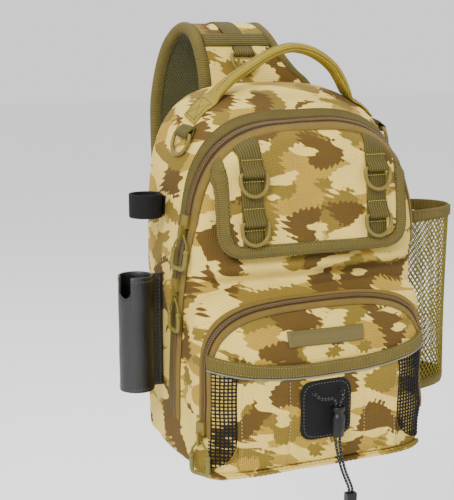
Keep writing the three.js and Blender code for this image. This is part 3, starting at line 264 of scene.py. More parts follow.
class Finish:
    """A material whose nodes are made by expressions."""

    def __init__(self, name):
        self.material = bpy.data.materials.new(name)
        self.material.use_nodes = True
        self.tree = self.material.node_tree
        self.shader = self.tree.nodes["Principled BSDF"]

    def add(self, kind, settings=None, inputs=None, output=0):
        node = self.tree.nodes.new(kind)
        for key, value in (settings or {}).items():
            setattr(node, key, value)
        for key, value in (inputs or {}).items():
            self.join(value, node.inputs[key])
        return Field(self, node.outputs[output])

    def join(self, value, socket):
        if isinstance(value, Field):
            self.tree.links.new(value.socket, socket)
        else:
            socket.default_value = value

    def place(self):
        return self.add("ShaderNodeTexCoord", output="Object")

    def threads(self):
        """Distances across and along the cloth."""
        return self.split(self.add("ShaderNodeTexCoord", output="UV"))[:2]

    def split(self, vector):
        return [self.add("ShaderNodeSeparateXYZ", {}, {0: vector}, axis) for axis in range(3)]

    def vector(self, x, y, z):
        return self.add("ShaderNodeCombineXYZ", {}, {0: x, 1: y, 2: z})

    def noise(self, scale, detail=2.0, roughness=0.5, at=None):
        vector = self.place() if at is None else at
        return self.add("ShaderNodeTexNoise", {},
                        {"Vector": vector, "Scale": scale, "Detail": detail, "Roughness": roughness})

    def mix(self, factor, first, second, mode="MIX"):
        return self.add("ShaderNodeMix", {"data_type": "RGBA", "blend_type": mode},
                        {0: factor, 6: first, 7: second}, 2)

    def shaded(self, colour, shade):
        """A colour made darker or lighter by a field."""
        return self.mix(1.0, colour, self.vector(shade, shade, shade), "MULTIPLY")

    def surface(self, colour, rough, height=None, relief=0.0003, **constants):
        self.join(colour, self.shader.inputs["Base Color"])
        self.join(rough, self.shader.inputs["Roughness"])
        for key, value in constants.items():
            self.shader.inputs[key.replace("_", " ")].default_value = value
        if height is not None:
            bump = self.add("ShaderNodeBump", {}, {"Height": height, "Distance": relief})
            self.join(bump, self.shader.inputs["Normal"])
        return self.material


def rgb(red, green, blue):
    """A colour as it is seen on a screen, as linear light."""
    return tuple(((c / 255 + 0.055) / 1.055) ** 2.4 for c in (red, green, blue)) + (1.0,)


SAND = rgb(224, 194, 98)
TAN = rgb(166, 134, 48)
KHAKI = rgb(124, 102, 32)
BROWN = rgb(90, 66, 18)
OLIVE = rgb(80, 70, 24)
CLOTH_GLOSS = 0.25
CANVAS_PITCH = 0.0023


def camo_canvas():
    """Sand, tan, khaki and brown blotches, some with serrated edges, on a coarse canvas weave."""
    f = Finish("camo_canvas")
    x, y, z = f.split(f.place())
    side = x + y * 0.9
    tooth = ((z + side * 0.45) / 0.0036).math("PINGPONG", 1) * 0.0062
    notch = ((side - z * 0.3) / 0.0034).math("PINGPONG", 1) * 0.005
    torn = f.vector(x * 1.1 + tooth, z * 1.5 + notch, y * 1.1 + tooth)
    calm = f.vector(x * 0.9 + tooth * 0.6, z * 1.8, y * 0.9)
    fine = f.vector(x * 1.2 + tooth, z * 1.3 + notch, y * 1.1 + tooth + 7)
    colour = f.mix(f.noise(18, 0.6, at=calm).above(0.52), SAND, TAN)
    colour = f.mix(f.noise(22, 0.3, at=torn).above(0.56), colour, KHAKI)
    colour = f.mix(f.noise(19, 0.2, at=fine).above(0.57), colour, BROWN)
    colour = f.mix(f.noise(28, 0.2, at=calm.moved(3.7, 1.2, 0.4)).above(0.62), colour, SAND)
    u, v = f.threads()
    weave = u.wave(CANVAS_PITCH) * v.wave(CANVAS_PITCH)
    worn = f.noise(30, 4)
    # Painted shade: the colour is darker where the weave is low, between the threads. The noise adds tone
    # that differs at random.
    shade = weave * 0.6 + worn * 0.3 + 0.58
    colour = f.shaded(colour, shade)
    height = weave + f.noise(240, 2) * 0.6
    return f.surface(colour, worn * 0.15 + 0.74, height, 0.0006, Specular_IOR_Level=CLOTH_GLOSS)


def webbing(name, colour, rib=0.003, pick=0.0018):
    """Ribs along the length, crossed by fine picks."""
    f = Finish(name)
    u, v = f.threads()
    ribs = u.wave(rib)
    picks = (v + u.wave(rib) * (pick / 2)).wave(pick)
    height = ribs * 0.7 + picks * 0.3
    worn = f.noise(45, 4)
    # Painted shade and highlight: the colour is darker in the grooves between ribs and picks and lighter on
    # their crests. The noise adds tone that differs at random.
    shade = height * 0.95 + worn * 0.4 + 0.28
    tone = f.shaded(colour, shade)
    return f.surface(tone, 0.8 - height * 0.12, height, 0.001, Specular_IOR_Level=CLOTH_GLOSS)


def grosgrain(name, colour, rib=0.002):
    """Binding tape with ribs across its length."""
    f = Finish(name)
    u, v = f.threads()
    ribs = v.wave(rib)
    threads = u.wave(0.0009)
    worn = f.noise(55, 4)
    # Painted shade and highlight: the colour is darker between the ribs and threads and lighter on their
    # crests. The noise adds tone that differs at random.
    shade = ribs * 0.6 + threads * 0.15 + worn * 0.45 + 0.38
    tone = f.shaded(colour, shade)
    return f.surface(tone, worn * 0.2 + 0.68, ribs + threads * 0.3, 0.0006, Specular_IOR_Level=CLOTH_GLOSS)


def knit(name, colour, hole, pitch=0.0034, depth=0.0009, sheen=0.2):
    """Spacer mesh: round holes in staggered rows."""
    f = Finish(name)
    u, v = f.threads()
    first = u.wave(pitch) * v.wave(pitch * 1.3)
    second = (u + pitch / 2).wave(pitch) * (v + pitch * 0.65).wave(pitch * 1.3)
    open_part = first.math("MAXIMUM", second)
    mask = open_part.above(0.55, 0.2)
    worn = f.noise(60, 3)
    # Painted shade: the holes take the darker hole colour, which stands in for the shade inside them. The
    # noise below darkens the tone towards it at random.
    tone = f.mix(mask, colour, hole)
    tone = f.mix(worn * 0.35, tone, hole)
    return f.surface(tone, 0.85, 1 - mask, depth, Sheen_Weight=sheen, Specular_IOR_Level=0.3)


def plastic(name, colour, rough=0.32, coat=0.25, grain=300.0, gloss=0.5):
    """Moulded plastic with a fine grain and slight scuffs."""
    f = Finish(name)
    scuffs = f.noise(90, 5, 0.65)
    grains = f.noise(grain * 4, 2)
    shade = scuffs * 0.3 + 0.85
    tone = f.shaded(colour, shade)
    return f.surface(tone, scuffs * 0.22 + rough, grains + scuffs, 0.0001,
                     Coat_Weight=coat, Coat_Roughness=0.25, Specular_IOR_Level=gloss)


def cord_weave(name, colour, fleck, share=0.5, pitch=0.0022):
    """Braided sheath: diagonal picks, with flecks of a second thread."""
    f = Finish(name)
    u, v = f.threads()
    first = (v + u * 1.2).wave(pitch)
    second = (v - u * 1.2).wave(pitch)
    braid = first.math("MAXIMUM", second)
    spots = (first * second).above(share, 0.08)
    worn = f.noise(120, 3)
    tone = f.mix(spots, colour, fleck)
    tone = f.mix(worn * 0.3, tone, colour)
    return f.surface(tone, worn * 0.2 + 0.6, braid, 0.0004, Specular_IOR_Level=CLOTH_GLOSS)


def plain_thread(name, colour):
    """Sewing thread with a twist."""
    f = Finish(name)
    u, v = f.threads()
    twist = (u + v).wave(0.0008)
    # Painted shade: the colour is darker in the grooves of the twist. The noise adds tone that differs at
    # random.
    shade = twist * 0.3 + f.noise(200, 2) * 0.3 + 0.7
    tone = f.shaded(colour, shade)
    return f.surface(tone, 0.6, twist, 0.0002, Sheen_Weight=0.1)


def vinyl(name, colour, rough=0.34, coat=0.15):
    """Smooth coated cloth with a soft leather grain."""
    f = Finish(name)
    grain = f.add("ShaderNodeTexVoronoi", {"feature": "DISTANCE_TO_EDGE"},
                  {"Vector": f.place(), "Scale": 520})
    folds = f.noise(35, 4)
    # Painted shade and highlight: the colour follows the folds' height, darker in their hollows and lighter
    # on their crests.
    shade = folds * 0.8 + 0.6
    tone = f.shaded(colour, shade)
    return f.surface(tone, folds * 0.25 + rough, grain * 2 + folds, 0.0003,
                     Coat_Weight=coat, Coat_Roughness=0.3)


CAMO = camo_canvas()
OLIVE_WEBBING = webbing("olive_webbing", OLIVE)
HANDLE_WEBBING = webbing("handle_webbing", rgb(142, 122, 32), 0.0024)
BINDING_TAPE = grosgrain("olive_binding", rgb(94, 82, 34))
GUSSET_TAPE = grosgrain("gusset_tape", rgb(84, 72, 26), 0.0022)
WELT_TAPE = grosgrain("tan_welt", rgb(128, 104, 44), 0.0008)
ZIP_TAPE = grosgrain("brown_zip_tape", rgb(70, 54, 24), 0.0009)
COIL = plastic("zip_coil", rgb(98, 74, 40), 0.5, 0.0)
# LINING and BLACK_WEAVE take a second, darker colour that is painted shade inside their holes.
LINING = knit("air_mesh_lining", rgb(78, 76, 18), rgb(24, 24, 4))
NET_CORD = cord_weave("net_cord", rgb(134, 120, 36), rgb(86, 76, 20))
BLACK_CORD = cord_weave("black_mesh_cord", rgb(7, 7, 6), rgb(18, 17, 16))
BLACK_WEAVE = knit("black_woven", rgb(9, 9, 9), rgb(2, 2, 2), 0.0016, 0.0004, 0.0)
VINYL = vinyl("black_vinyl", rgb(9, 9, 10))
OLIVE_PLASTIC = plastic("olive_plastic", rgb(102, 86, 22), 0.32, 0.08, gloss=0.4)
PULL_PLASTIC = plastic("pull_plastic", rgb(100, 90, 26), 0.36, 0.06, gloss=0.4)
OLIVE_CORD = cord_weave("olive_cord", rgb(112, 106, 36), rgb(70, 66, 20))
RUBBER = plastic("label_rubber", rgb(84, 72, 24), 0.55, 0.0)
BLACK_PLASTIC = plastic("black_plastic", rgb(6, 6, 7), 0.36, 0.05, gloss=0.3)
BUNGEE = cord_weave("black_bungee", rgb(7, 7, 8), rgb(170, 170, 166), 0.8, 0.004)
YELLOW_THREAD = plain_thread("yellow_thread", rgb(190, 172, 50))
DARK_THREAD = plain_thread("olive_thread", rgb(60, 54, 20))
OLIVE_THREAD = plain_thread("light_olive_thread", rgb(138, 122, 54))
TAN_THREAD = plain_thread("tan_thread", rgb(206, 182, 118))
GREY_THREAD = plain_thread("grey_thread", rgb(96, 94, 90))
REFLECTIVE = grosgrain("reflective_piping", rgb(140, 138, 126), 0.0008)
ZIP_THREAD = plain_thread("brown_thread", rgb(120, 92, 62))


# Meshes
def piece(name, shape, material, replaces=(), body="bag", sharp=None):
    """A piece of the object from a shape in millimetres, riding on a body."""
    points, faces, cloth = shape
    mesh = bpy.data.meshes.new(name)
    mesh.from_pydata(metres(points), [], [tuple(int(i) for i in f) for f in faces])
    layer = mesh.uv_layers.new(name="cloth")
    index = np.empty(len(mesh.loops), np.int32)
    mesh.loops.foreach_get("vertex_index", index)
    layer.data.foreach_set("uv", (np.asarray(cloth) / 1000)[index].astype(np.float32).ravel())
    work = bmesh.new()
    work.from_mesh(mesh)
    bmesh.ops.remove_doubles(work, verts=work.verts, dist=1e-6)
    bmesh.ops.recalc_face_normals(work, faces=work.faces)
    work.to_mesh(mesh)
    work.free()
    mesh.polygons.foreach_set("use_smooth", np.ones(len(mesh.polygons), bool))
    if sharp:
        mesh.set_sharp_from_angle(angle=math.radians(sharp))
    mesh.materials.append(material)
    piece_object = linked(name, mesh)
    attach(piece_object, body)
    if replaces:
        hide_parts(*replaces)
    return piece_object


def xyz(x, y, z):
    """Points from their coordinates, each broadcast to the largest."""
    return np.stack(np.broadcast_arrays(x, y, z), -1)


def unit(vectors):
    """Vectors made one long."""
    return vectors / np.linalg.norm(vectors, axis=-1, keepdims=True)


def turn(count):
    """Angles of a full turn."""
    return np.linspace(0, 2 * math.pi, count, endpoint=False)


def lengths(points, axis):
    """How far each point lies along its run, along one axis of a grid of points."""
    steps = np.linalg.norm(np.diff(points, axis=axis), axis=-1)
    pad = [(0, 0), (0, 0)]
    pad[axis] = (1, 0)
    return np.cumsum(np.pad(steps, pad), axis=axis)


def loops(points, ends="strip", ring=False, width=None):
    """Faces and cloth coordinates of closed loops of points. Ends are closed by strips between a
    loop's two halves or by one face, and a ring joins its last loop to the first one."""
    rows, count = points.shape[:2]
    index = np.arange(rows * count).reshape(rows, count)
    near = index if ring else index[:-1]
    far = np.roll(index, -1, 0) if ring else index[1:]
    faces = np.stack([near, np.roll(near, -1, 1), np.roll(far, -1, 1), far], -1).reshape(-1, 4).tolist()
    if not ring and ends == "strip":
        for row in (0, rows - 1):
            for j in range(count // 2 - 1):
                faces.append([index[row, j], index[row, j + 1],
                              index[row, count - 2 - j], index[row, count - 1 - j]])
    if not ring and ends == "face":
        faces.append(index[0].tolist())
        faces.append(index[-1].tolist())
    across = lengths(points, 1)
    across = across - (across[:, -1:] / 4 if width is None else width / 2)
    along = lengths(points, 0)[:, count // 4][:, None] + np.zeros_like(across)
    cloth = np.stack([across, along], -1).reshape(-1, 2)
    return points.reshape(-1, 3), faces, cloth


def normals(points, inside):
    """Unit normals of a grid of points, away from the inside."""
    across = np.gradient(points, axis=1)
    along = np.gradient(points, axis=0)
    normal = np.cross(across, along)
    normal /= np.maximum(np.linalg.norm(normal, axis=-1, keepdims=True), 1e-9)
    if (normal * (points - np.asarray(inside, float))).sum() < 0:
        normal = -normal
    return normal


def layer(points, near, far, inside=None, normal=None, edge=0.55):
    """Closed loops of a layer of cloth between two distances from a grid of points."""
    normal = normals(points, inside) if normal is None else np.asarray(normal, float)
    near = np.broadcast_to(near, points.shape[:2])[..., None]
    far = np.broadcast_to(far, points.shape[:2])[..., None].copy()
    soft = np.ones_like(far)
    soft[0] = soft[-1] = edge
    soft[:, 0] = soft[:, -1] = edge
    top = points + normal * (near + (far - near) * soft)
    bottom = points + normal * near
    return np.concatenate([top, bottom[:, ::-1]], axis=1)


def cloth_layer(name, points, near, far, material, replaces=(), inside=MIDDLE, **options):
    """A piece that is one layer of cloth over a grid of points."""
    solid = layer(points, near, far, inside, **options)
    return piece(name, loops(solid, width=lengths(points, 1)[:, -1:]), material, replaces)


def row_on(grid, column, height, inside=MIDDLE, trim=0):
    """A run for stitches along one column of a grid, above the cloth, with its normals."""
    rows = slice(trim, len(grid) - trim)
    normal = normals(grid, inside)[rows, column]
    return grid[rows, column] + normal * height, normal


def join(shapes):
    """Several shapes of points, faces and cloth coordinates as one."""
    points, faces, cloth, start = [], [], [], 0
    for shape in shapes:
        points.append(shape[0])
        faces.extend([[i + start for i in face] for face in shape[1]])
        cloth.append(shape[2])
        start += len(shape[0])
    return np.concatenate(points), faces, np.concatenate(cloth)


def smooth_run(points, count=None, step=None):
    """Evenly spaced points of a smooth curve through a few points."""
    points = np.asarray(points, float)
    ends = np.array([2 * points[0] - points[1], 2 * points[-1] - points[-2]])
    path = np.concatenate([ends[:1], points, ends[1:]])
    fine = []
    share = np.linspace(0, 1, 24, endpoint=False)[:, None]
    for i in range(1, len(path) - 2):
        p0, p1, p2, p3 = path[i - 1:i + 3]
        t1, t2, t3 = np.cumsum([np.sqrt(max(np.linalg.norm(b - a), 1e-6))
                                for a, b in ((p0, p1), (p1, p2), (p2, p3))])
        t = t1 + (t2 - t1) * share
        a1 = p0 + (p1 - p0) * t / t1
        a2 = p1 + (p2 - p1) * (t - t1) / (t2 - t1)
        a3 = p2 + (p3 - p2) * (t - t2) / (t3 - t2)
        b1 = a1 + (a2 - a1) * t / t2
        b2 = a2 + (a3 - a2) * (t - t1) / (t3 - t1)
        fine.append(b1 + (b2 - b1) * (t - t1) / (t2 - t1))
    fine = np.concatenate([*fine, points[-1:]])
    return even(fine, count, step)


def even(points, count=None, step=None):
    """A run of points spaced evenly."""
    run = np.concatenate([[0], np.cumsum(np.linalg.norm(np.diff(points, axis=0), axis=1))])
    count = count or max(int(run[-1] / step) + 1, 2)
    place = np.linspace(0, run[-1], count)
    return np.stack([np.interp(place, run, points[:, k]) for k in range(points.shape[1])], -1)


def tube(points, radius, sides=10, ring=False, flat=1.0, normal=None):
    """A round or oval tube along a run of points."""
    points = np.asarray(points, float)
    if ring:
        along = np.roll(points, -1, 0) - np.roll(points, 1, 0)
    else:
        along = np.gradient(points, axis=0)
    along = unit(along)
    first = np.cross(along[0], (0.31, 0.17, 0.93)) if normal is None else np.asarray(normal, float)
    sides_out = []
    for direction in along:
        first = first - direction * first.dot(direction)
        first = first / np.linalg.norm(first)
        sides_out.append(first)
    out = np.array(sides_out)
    across = np.cross(along, out)
    angle = turn(sides)
    radius = np.broadcast_to(radius, len(points))[:, None, None]
    solid = points[:, None] + radius * (
        np.cos(angle)[None, :, None] * out[:, None] * flat + np.sin(angle)[None, :, None] * across[:, None])
    return loops(solid, "face", ring)


def stitches(name, runs, material, stitch=2.4, space=1.2, radius=0.42, lift=0.1):
    """Rows of stitches. Each run is points with their normals."""
    shapes = []
    for points, normal in runs:
        points = np.asarray(points, float)
        normal = np.broadcast_to(normal, points.shape)
        line = even(np.concatenate([points, normal], 1), step=(stitch + space) / 2)
        for start in range(0, len(line) - 1, 2):
            a, b = line[start, :3], line[start + 1, :3]
            up = line[start, 3:] / max(np.linalg.norm(line[start, 3:]), 1e-9)
            grow = (b - a) * (stitch / (stitch + space) - 0.5)
            a, b = a - grow / 2, b + grow / 2
            rise = up * (lift + radius * 0.4)
            path = np.array([a, a * 0.75 + b * 0.25 + rise, a * 0.25 + b * 0.75 + rise, b])
            shapes.append(tube(path, np.array([0.4, 1, 1, 0.4]) * radius, 5, normal=up))
    return piece(name, join(shapes), material)


def ripple(points, wavelength, seed):
    """Soft waves of about that wavelength, from about -1 to 1."""
    random = np.random.default_rng(seed)
    total = np.zeros(points.shape[:-1])
    for _ in range(7):
        direction = random.normal(size=3)
        direction /= np.linalg.norm(direction)
        length = wavelength * random.uniform(0.7, 1.5)
        total += np.sin(points @ direction * (2 * math.pi / length) + random.uniform(0, 2 * math.pi))
    return total / 3.5


def bell(value, centre, width):
    """A bell curve, 1 at its centre."""
    return np.exp(-((value - centre) / width) ** 2)


def ramp(value, start, end):
    """A smooth rise from 0 to 1."""
    share = np.clip((value - start) / (end - start), 0, 1)
    return share * share * (3 - 2 * share)


# The bag's skins
BODY_ROWS = np.array([
    # depth, width, bottom, top, power
    (0.0, 0.953, 0.02, 0.981, 3.5),
    (0.05, 0.993, 0.0, 0.997, 3.5),
    (0.2, 1.0, 0.0, 1.0, 3.5),
    (0.5, 1.0, 0.0, 0.983, 3.4),
    (0.67, 0.997, 0.0, 0.955, 3.2),
    (0.8, 0.987, 0.003, 0.918, 3.1),
    (0.92, 0.95, 0.012, 0.893, 3.0),
    (0.97, 0.89, 0.03, 0.865, 3.0),
    (1.0, 0.76, 0.08, 0.815, 2.8),
])
POCKET_ROWS = np.array([
    # depth, width, bottom, top, power
    (-0.6, 0.985, 0.004, 1.01, 7.0),
    (0.0, 0.993, 0.0, 1.0, 6.0),
    (0.25, 0.98, 0.0, 0.955, 4.0),
    (0.37, 0.953, 0.0, 0.93, 3.3),
    (0.55, 0.912, 0.004, 0.885, 3.1),
    (0.75, 0.83, 0.016, 0.81, 3.0),
    (0.88, 0.71, 0.035, 0.7, 2.8),
    (0.96, 0.52, 0.1, 0.55, 2.6),
])
RING_POINTS = 320


def monotone(place, places, values):
    """A smooth curve through a table that never overshoots it."""
    slope = np.diff(values) / np.diff(places)
    middle = np.where(slope[:-1] * slope[1:] > 0,
                      2 * slope[:-1] * slope[1:] / np.where(slope[:-1] + slope[1:] == 0, 1,
                                                            slope[:-1] + slope[1:]), 0)
    tangent = np.concatenate([slope[:1], middle, slope[-1:]])
    i = np.clip(np.searchsorted(places, place, side="right") - 1, 0, len(places) - 2)
    width = places[i + 1] - places[i]
    t = (place - places[i]) / width
    return ((2 * t ** 3 - 3 * t ** 2 + 1) * values[i] + (t ** 3 - 2 * t ** 2 + t) * width * tangent[i]
            + (3 * t ** 2 - 2 * t ** 3) * values[i + 1] + (t ** 3 - t ** 2) * width * tangent[i + 1])


def arch(half, bottom, spring, top, power):
    """An arch from the middle of the base over the left side, the top and the right side."""
    corner = min(CORNER, half / 3)
    angle = np.linspace(-math.pi / 2, 0, 9)
    foot = np.stack([half - corner + corner * np.cos(angle), bottom + corner + corner * np.sin(angle)], -1)
    angle = np.linspace(0, math.pi / 2, 90)
    over = np.stack([half * np.cos(angle) ** (2 / power),
                     spring + (top - spring) * np.sin(angle) ** (2 / power)], -1)
    over[-1] = (0, top)
    right = even(np.concatenate([[(0, bottom)], foot, over]), RING_POINTS // 2 + 1)
    left = right * (-1, 1)
    return np.concatenate([left, right[::-1][1:-1]])


class Skin:
    """Rings of points, one for each depth, with a front that closes on a middle point."""

    def __init__(self, rows, start, depth, height, spring_at, middle, move):
        steps = np.concatenate([np.linspace(a, b, 6)[:-1] for a, b in zip(rows[:-1, 0], rows[1:, 0])])
        depths = np.append(steps, rows[-1, 0])
        table = [monotone(depths, rows[:, 0], rows[:, k]) for k in range(1, 5)]
        rings = []
        for d, width, bottom, top, power in zip(depths, *table):
            ring = arch(HALF * width, height * bottom, spring_at(height * top), height * top, power)
            rings.append(xyz(ring[:, 0], start - depth * d, ring[:, 1]))
        rings = np.array(rings)
        middle = np.array(middle, float)
        shrink = np.linspace(1, 0, 26)[1:, None, None]
        front = middle + (rings[-1] - middle) * (1, 0, 1) * shrink
        front[..., 1] = middle[1] + (rings[-1, 0, 1] - middle[1]) * shrink[..., 0] ** 1.3
        points = np.concatenate([rings, front])
        padded = np.concatenate([points[:, -2:], points, points[:, :2]], 1)
        normal = normals(padded, (0, start + 60, 200))[:, 2:-2]
        normal[-1] = (0, -1, 0)
        points = points + normal * move(points, normal)[..., None]
        points[-1] = points[-1].mean(0)
        self.points = points
        self.ring_rows = len(rings)
        self.depth_y = rings[:, 0, 1]
        self.shape = loops(points, None)
        self.tree = BVHTree.FromPolygons(points.reshape(-1, 3).tolist(), self.shape[1])

    def at(self, place, y):
        """Points at a share of the way around the ring, and a depth."""
        place, y = np.broadcast_arrays(place, y)
        row = np.interp(-y, -self.depth_y, np.arange(self.ring_rows))
        column = (place % 1) * RING_POINTS
        i = np.clip(row.astype(int), 0, self.ring_rows - 2)
        j = column.astype(int)
        a, b = (row - i)[..., None], (column - j)[..., None]
        k = (j + 1) % RING_POINTS
        j = j % RING_POINTS
        p = self.points
        return (p[i, j] * (1 - a) + p[i + 1, j] * a) * (1 - b) + (p[i, k] * (1 - a) + p[i + 1, k] * a) * b

    def place_at(self, z, y, sign):
        """The share of the ring at which it passes a height on one side."""
        run = np.linspace(0.02, 0.5, 400)
        heights = self.at(run, np.full(len(run), float(y)))[:, 2]
        share = np.interp(z, heights, run)
        return share if sign < 0 else 1 - share

    def front_y(self, x, z):
        """The depth of the front at each x and z."""
        x, z = np.broadcast_arrays(np.asarray(x, float), np.asarray(z, float))
        result = np.empty(x.shape)
        for i in np.ndindex(x.shape):
            found = self.tree.ray_cast(Vector((x[i], AHEAD, z[i])), Vector((0, 1, 0)))[0]
            result[i] = found.y if found else np.nan
        return result

    def drape(self, x, z):
        """Points of the front at each x and z."""
        return xyz(x, self.front_y(x, z), z)


def body_move(points, normal):
    """Sags and folds of the body: a fold over the front pocket, and slack cloth elsewhere."""
    x, y, z = np.moveaxis(points, -1, 0)
    facing = np.clip(-normal[..., 1], 0, 1)
    front = facing ** 2
    fold = 8 * bell(z, 229, 9.5) * front * ramp(HALF - np.abs(x), 4, 40)
    crease = -5.5 * bell(z, 216 + x * 0.02, 3.6) * front * ramp(HALF - np.abs(x), 2, 24)
    slack = ripple(points, 80, 3) * 1.1 + ripple(points, 34, 4) * 0.35
    calm = 1 - 0.75 * ramp(z, 230, 260) * front
    side = np.clip(np.abs(normal[..., 0]), 0, 1)
    hollow = -2.0 * side * bell(z, 150, 70) * bell(y, 10, 45)
    return fold + crease + slack * calm + hollow


def pocket_move(points, normal):
    """Slack and seams of the front pocket."""
    x, y, z = np.moveaxis(points, -1, 0)
    facing = np.clip(-normal[..., 1], 0, 1)
    slack = ripple(points, 62, 8) * 1.2 + ripple(points, 26, 9) * 0.4
    sag = 2.2 * bell(z, 150, 22) * facing * np.cos(x / 60)
    return slack * ramp(-y, 76, 90) + sag


BODY = Skin(BODY_ROWS, BACK, BAG_DEPTH, BAG_HEIGHT, lambda top: SPRING,
            (0, FRONT - FACE_BULGE, BAG_HEIGHT / 2), body_move)
POCKET = Skin(POCKET_ROWS, FRONT, POCKET_DEPTH, POCKET_HEIGHT,
              lambda top: min(POCKET_SPRING, top * 0.7), (0, FRONT - POCKET_DEPTH, POCKET_HEIGHT * 0.3),
              pocket_move)


def zip_depth(z):
    """Depth of the main zip: level over the arch and further back down the sides."""
    back = np.interp(z / BAG_HEIGHT, (0.21, 0.45, 0.66), (1.0, 0.6, 0.0))
    return ZIP_ARCH + ZIP_BACK * back


def along_zip(shifts, steps=420, ends=(BASE, BASE)):
    """A grid of points beside the main zip, from its left end over the top to its right end."""
    y0 = zip_depth(BASE)
    place = np.linspace(BODY.place_at(ends[0], y0, -1), BODY.place_at(ends[1], y0, 1), steps)
    place = place[:, None] + np.zeros(len(shifts))
    y = np.full(place.shape, ZIP_ARCH)
    for _ in range(4):
        z = BODY.at(place, y)[..., 2]
        y = zip_depth(z) + np.asarray(shifts)
    return BODY.at(place, y)


def along_pocket_zip(shifts, steps=300):
    """A grid of points beside the front pocket's zip."""
    place = np.linspace(POCKET.place_at(BASE, POCKET_ZIP, -1), POCKET.place_at(BASE, POCKET_ZIP, 1), steps)
    return POCKET.at(place[:, None] + np.zeros(len(shifts)), POCKET_ZIP + np.asarray(shifts)[None, :])


# Cords
def cord(name, route, radius, material, replaces, count=33):
    """A cord along given points in millimetres."""
    run = smooth_run(route, count)
    strand = piece(name, tube(run, radius, 12), material, replaces)
    return strand


def node_frame(name):
    """Middle of a CAD node in the bag's millimetres, with its size."""
    corner_low, corner_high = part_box(name)
    first = (np.array(corner_low) - ORIGIN) * 1000
    last = (np.array(corner_high) - ORIGIN) * 1000
    return (first + last) / 2, last - first


def dress(name, material, bevel=0.8):
    """A CAD node whose shape stays, with rounded edges and a finish."""
    node = frame["nodes"][name]
    node.data.materials.clear()
    node.data.materials.append(material)
    rounding = node.modifiers.new("rounding", "BEVEL")
    rounding.width = bevel / 1000
    rounding.segments = 3
    rounding.limit_method = "ANGLE"
    rounding.angle_limit = math.radians(40)
    rounding.harden_normals = True
    return node


LOCK_X = HOLDER_X + 9
LOCK_Y, LOCK_Z = node_frame("cord_lock")[0][1:]
EYELET_Y = -123
TOGGLE_X = LOCK_X + 18
TOGGLE_TOP = -25


def make_bungee():
    """Two elastic strands from the holder's eyelets through the lock to the cord's end."""
    profile = [(0, -17), (6.2, -17), (6.8, -16.4), (7.4, -8), (8, 3.4), (7.7, 5.5), (6.7, 7.6), (5.6, 8.6),
               (5.4, 9.2), (5.4, 11), (5.8, 11.8), (7, 12.2), (7.4, 12.8), (7.4, 16.2), (6.9, 17), (0, 17)]
    profile = np.array(profile)
    angle = turn(32)
    reach, rise = profile[:, :1], profile[:, 1:]
    solid = xyz(LOCK_X + reach * np.cos(angle), LOCK_Y + reach * np.sin(angle), LOCK_Z + rise)
    lock = piece("cord_lock_barrel", loops(solid, None), BLACK_PLASTIC, ["cord_lock"], sharp=50)
    end = dress("cord_end", BLACK_PLASTIC, 1.6)
    for side, sign, length in (("left", -1, 0.147), ("right", 1, 0.132)):
        hole = HOLDER_X + sign * EYELET_SPREAD
        near = 2.72 * sign
        route = [
            (hole, EYELET_Y, EYELET_Z),
            (hole, EYELET_Y - 7, EYELET_Z + 1),
            (hole - 4 * sign, EYELET_Y - 11, EYELET_Z - 3),
            (LOCK_X + 2 * near, LOCK_Y - 1, LOCK_Z + 26),
            (LOCK_X + near, LOCK_Y, LOCK_Z + 21),
            (LOCK_X + near, LOCK_Y, LOCK_Z),
            (LOCK_X + near, LOCK_Y, LOCK_Z - 17.3),
            (LOCK_X + 1 + near * 0.9, LOCK_Y, LOCK_Z - 29),
            (LOCK_X + 8 + near * 0.75, LOCK_Y, LOCK_Z - 57),
            (TOGGLE_X + near * 0.75, LOCK_Y, TOGGLE_TOP + 4),
            (TOGGLE_X + near * 0.75, LOCK_Y, TOGGLE_TOP + 0.6),
        ]
        cord(f"bungee_{side}", route, 1.5, BUNGEE, [f"bungee_loop_{side}", f"bungee_tail_{side}"],
             40)


PULL_SEATS = {
    # slider on its tape, direction out of the bag, direction up the tape
    "front": ((-136.96, -92.6, 61), (-0.831, -0.556, 0), (0, 0, 1)),
    "upper": ((-136.845, -52.5, 278), (-0.942, -0.302, 0.146), (0.154, 0, 0.988)),
    "lower": ((-142.742, -38.274, 207), (-0.994, -0.105, 0.01), (0.01, 0, 1)),
}
PULL_DEPTH = -5.0


def seat_axes(point, outward, up):
    """Origin and axes of a seat: across, into the bag and up the surface."""
    inward = -np.array(outward, float)
    across = unit(np.cross(inward, up))
    upward = np.cross(across, inward)
    return np.array(point, float), across, inward, upward


def on_seat(seat, points):
    """Points in a seat's own axes as points of the bag."""
    origin, across, inward, upward = seat
    points = np.asarray(points, float)
    return origin + points[..., :1] * across + points[..., 1:2] * inward + points[..., 2:] * upward


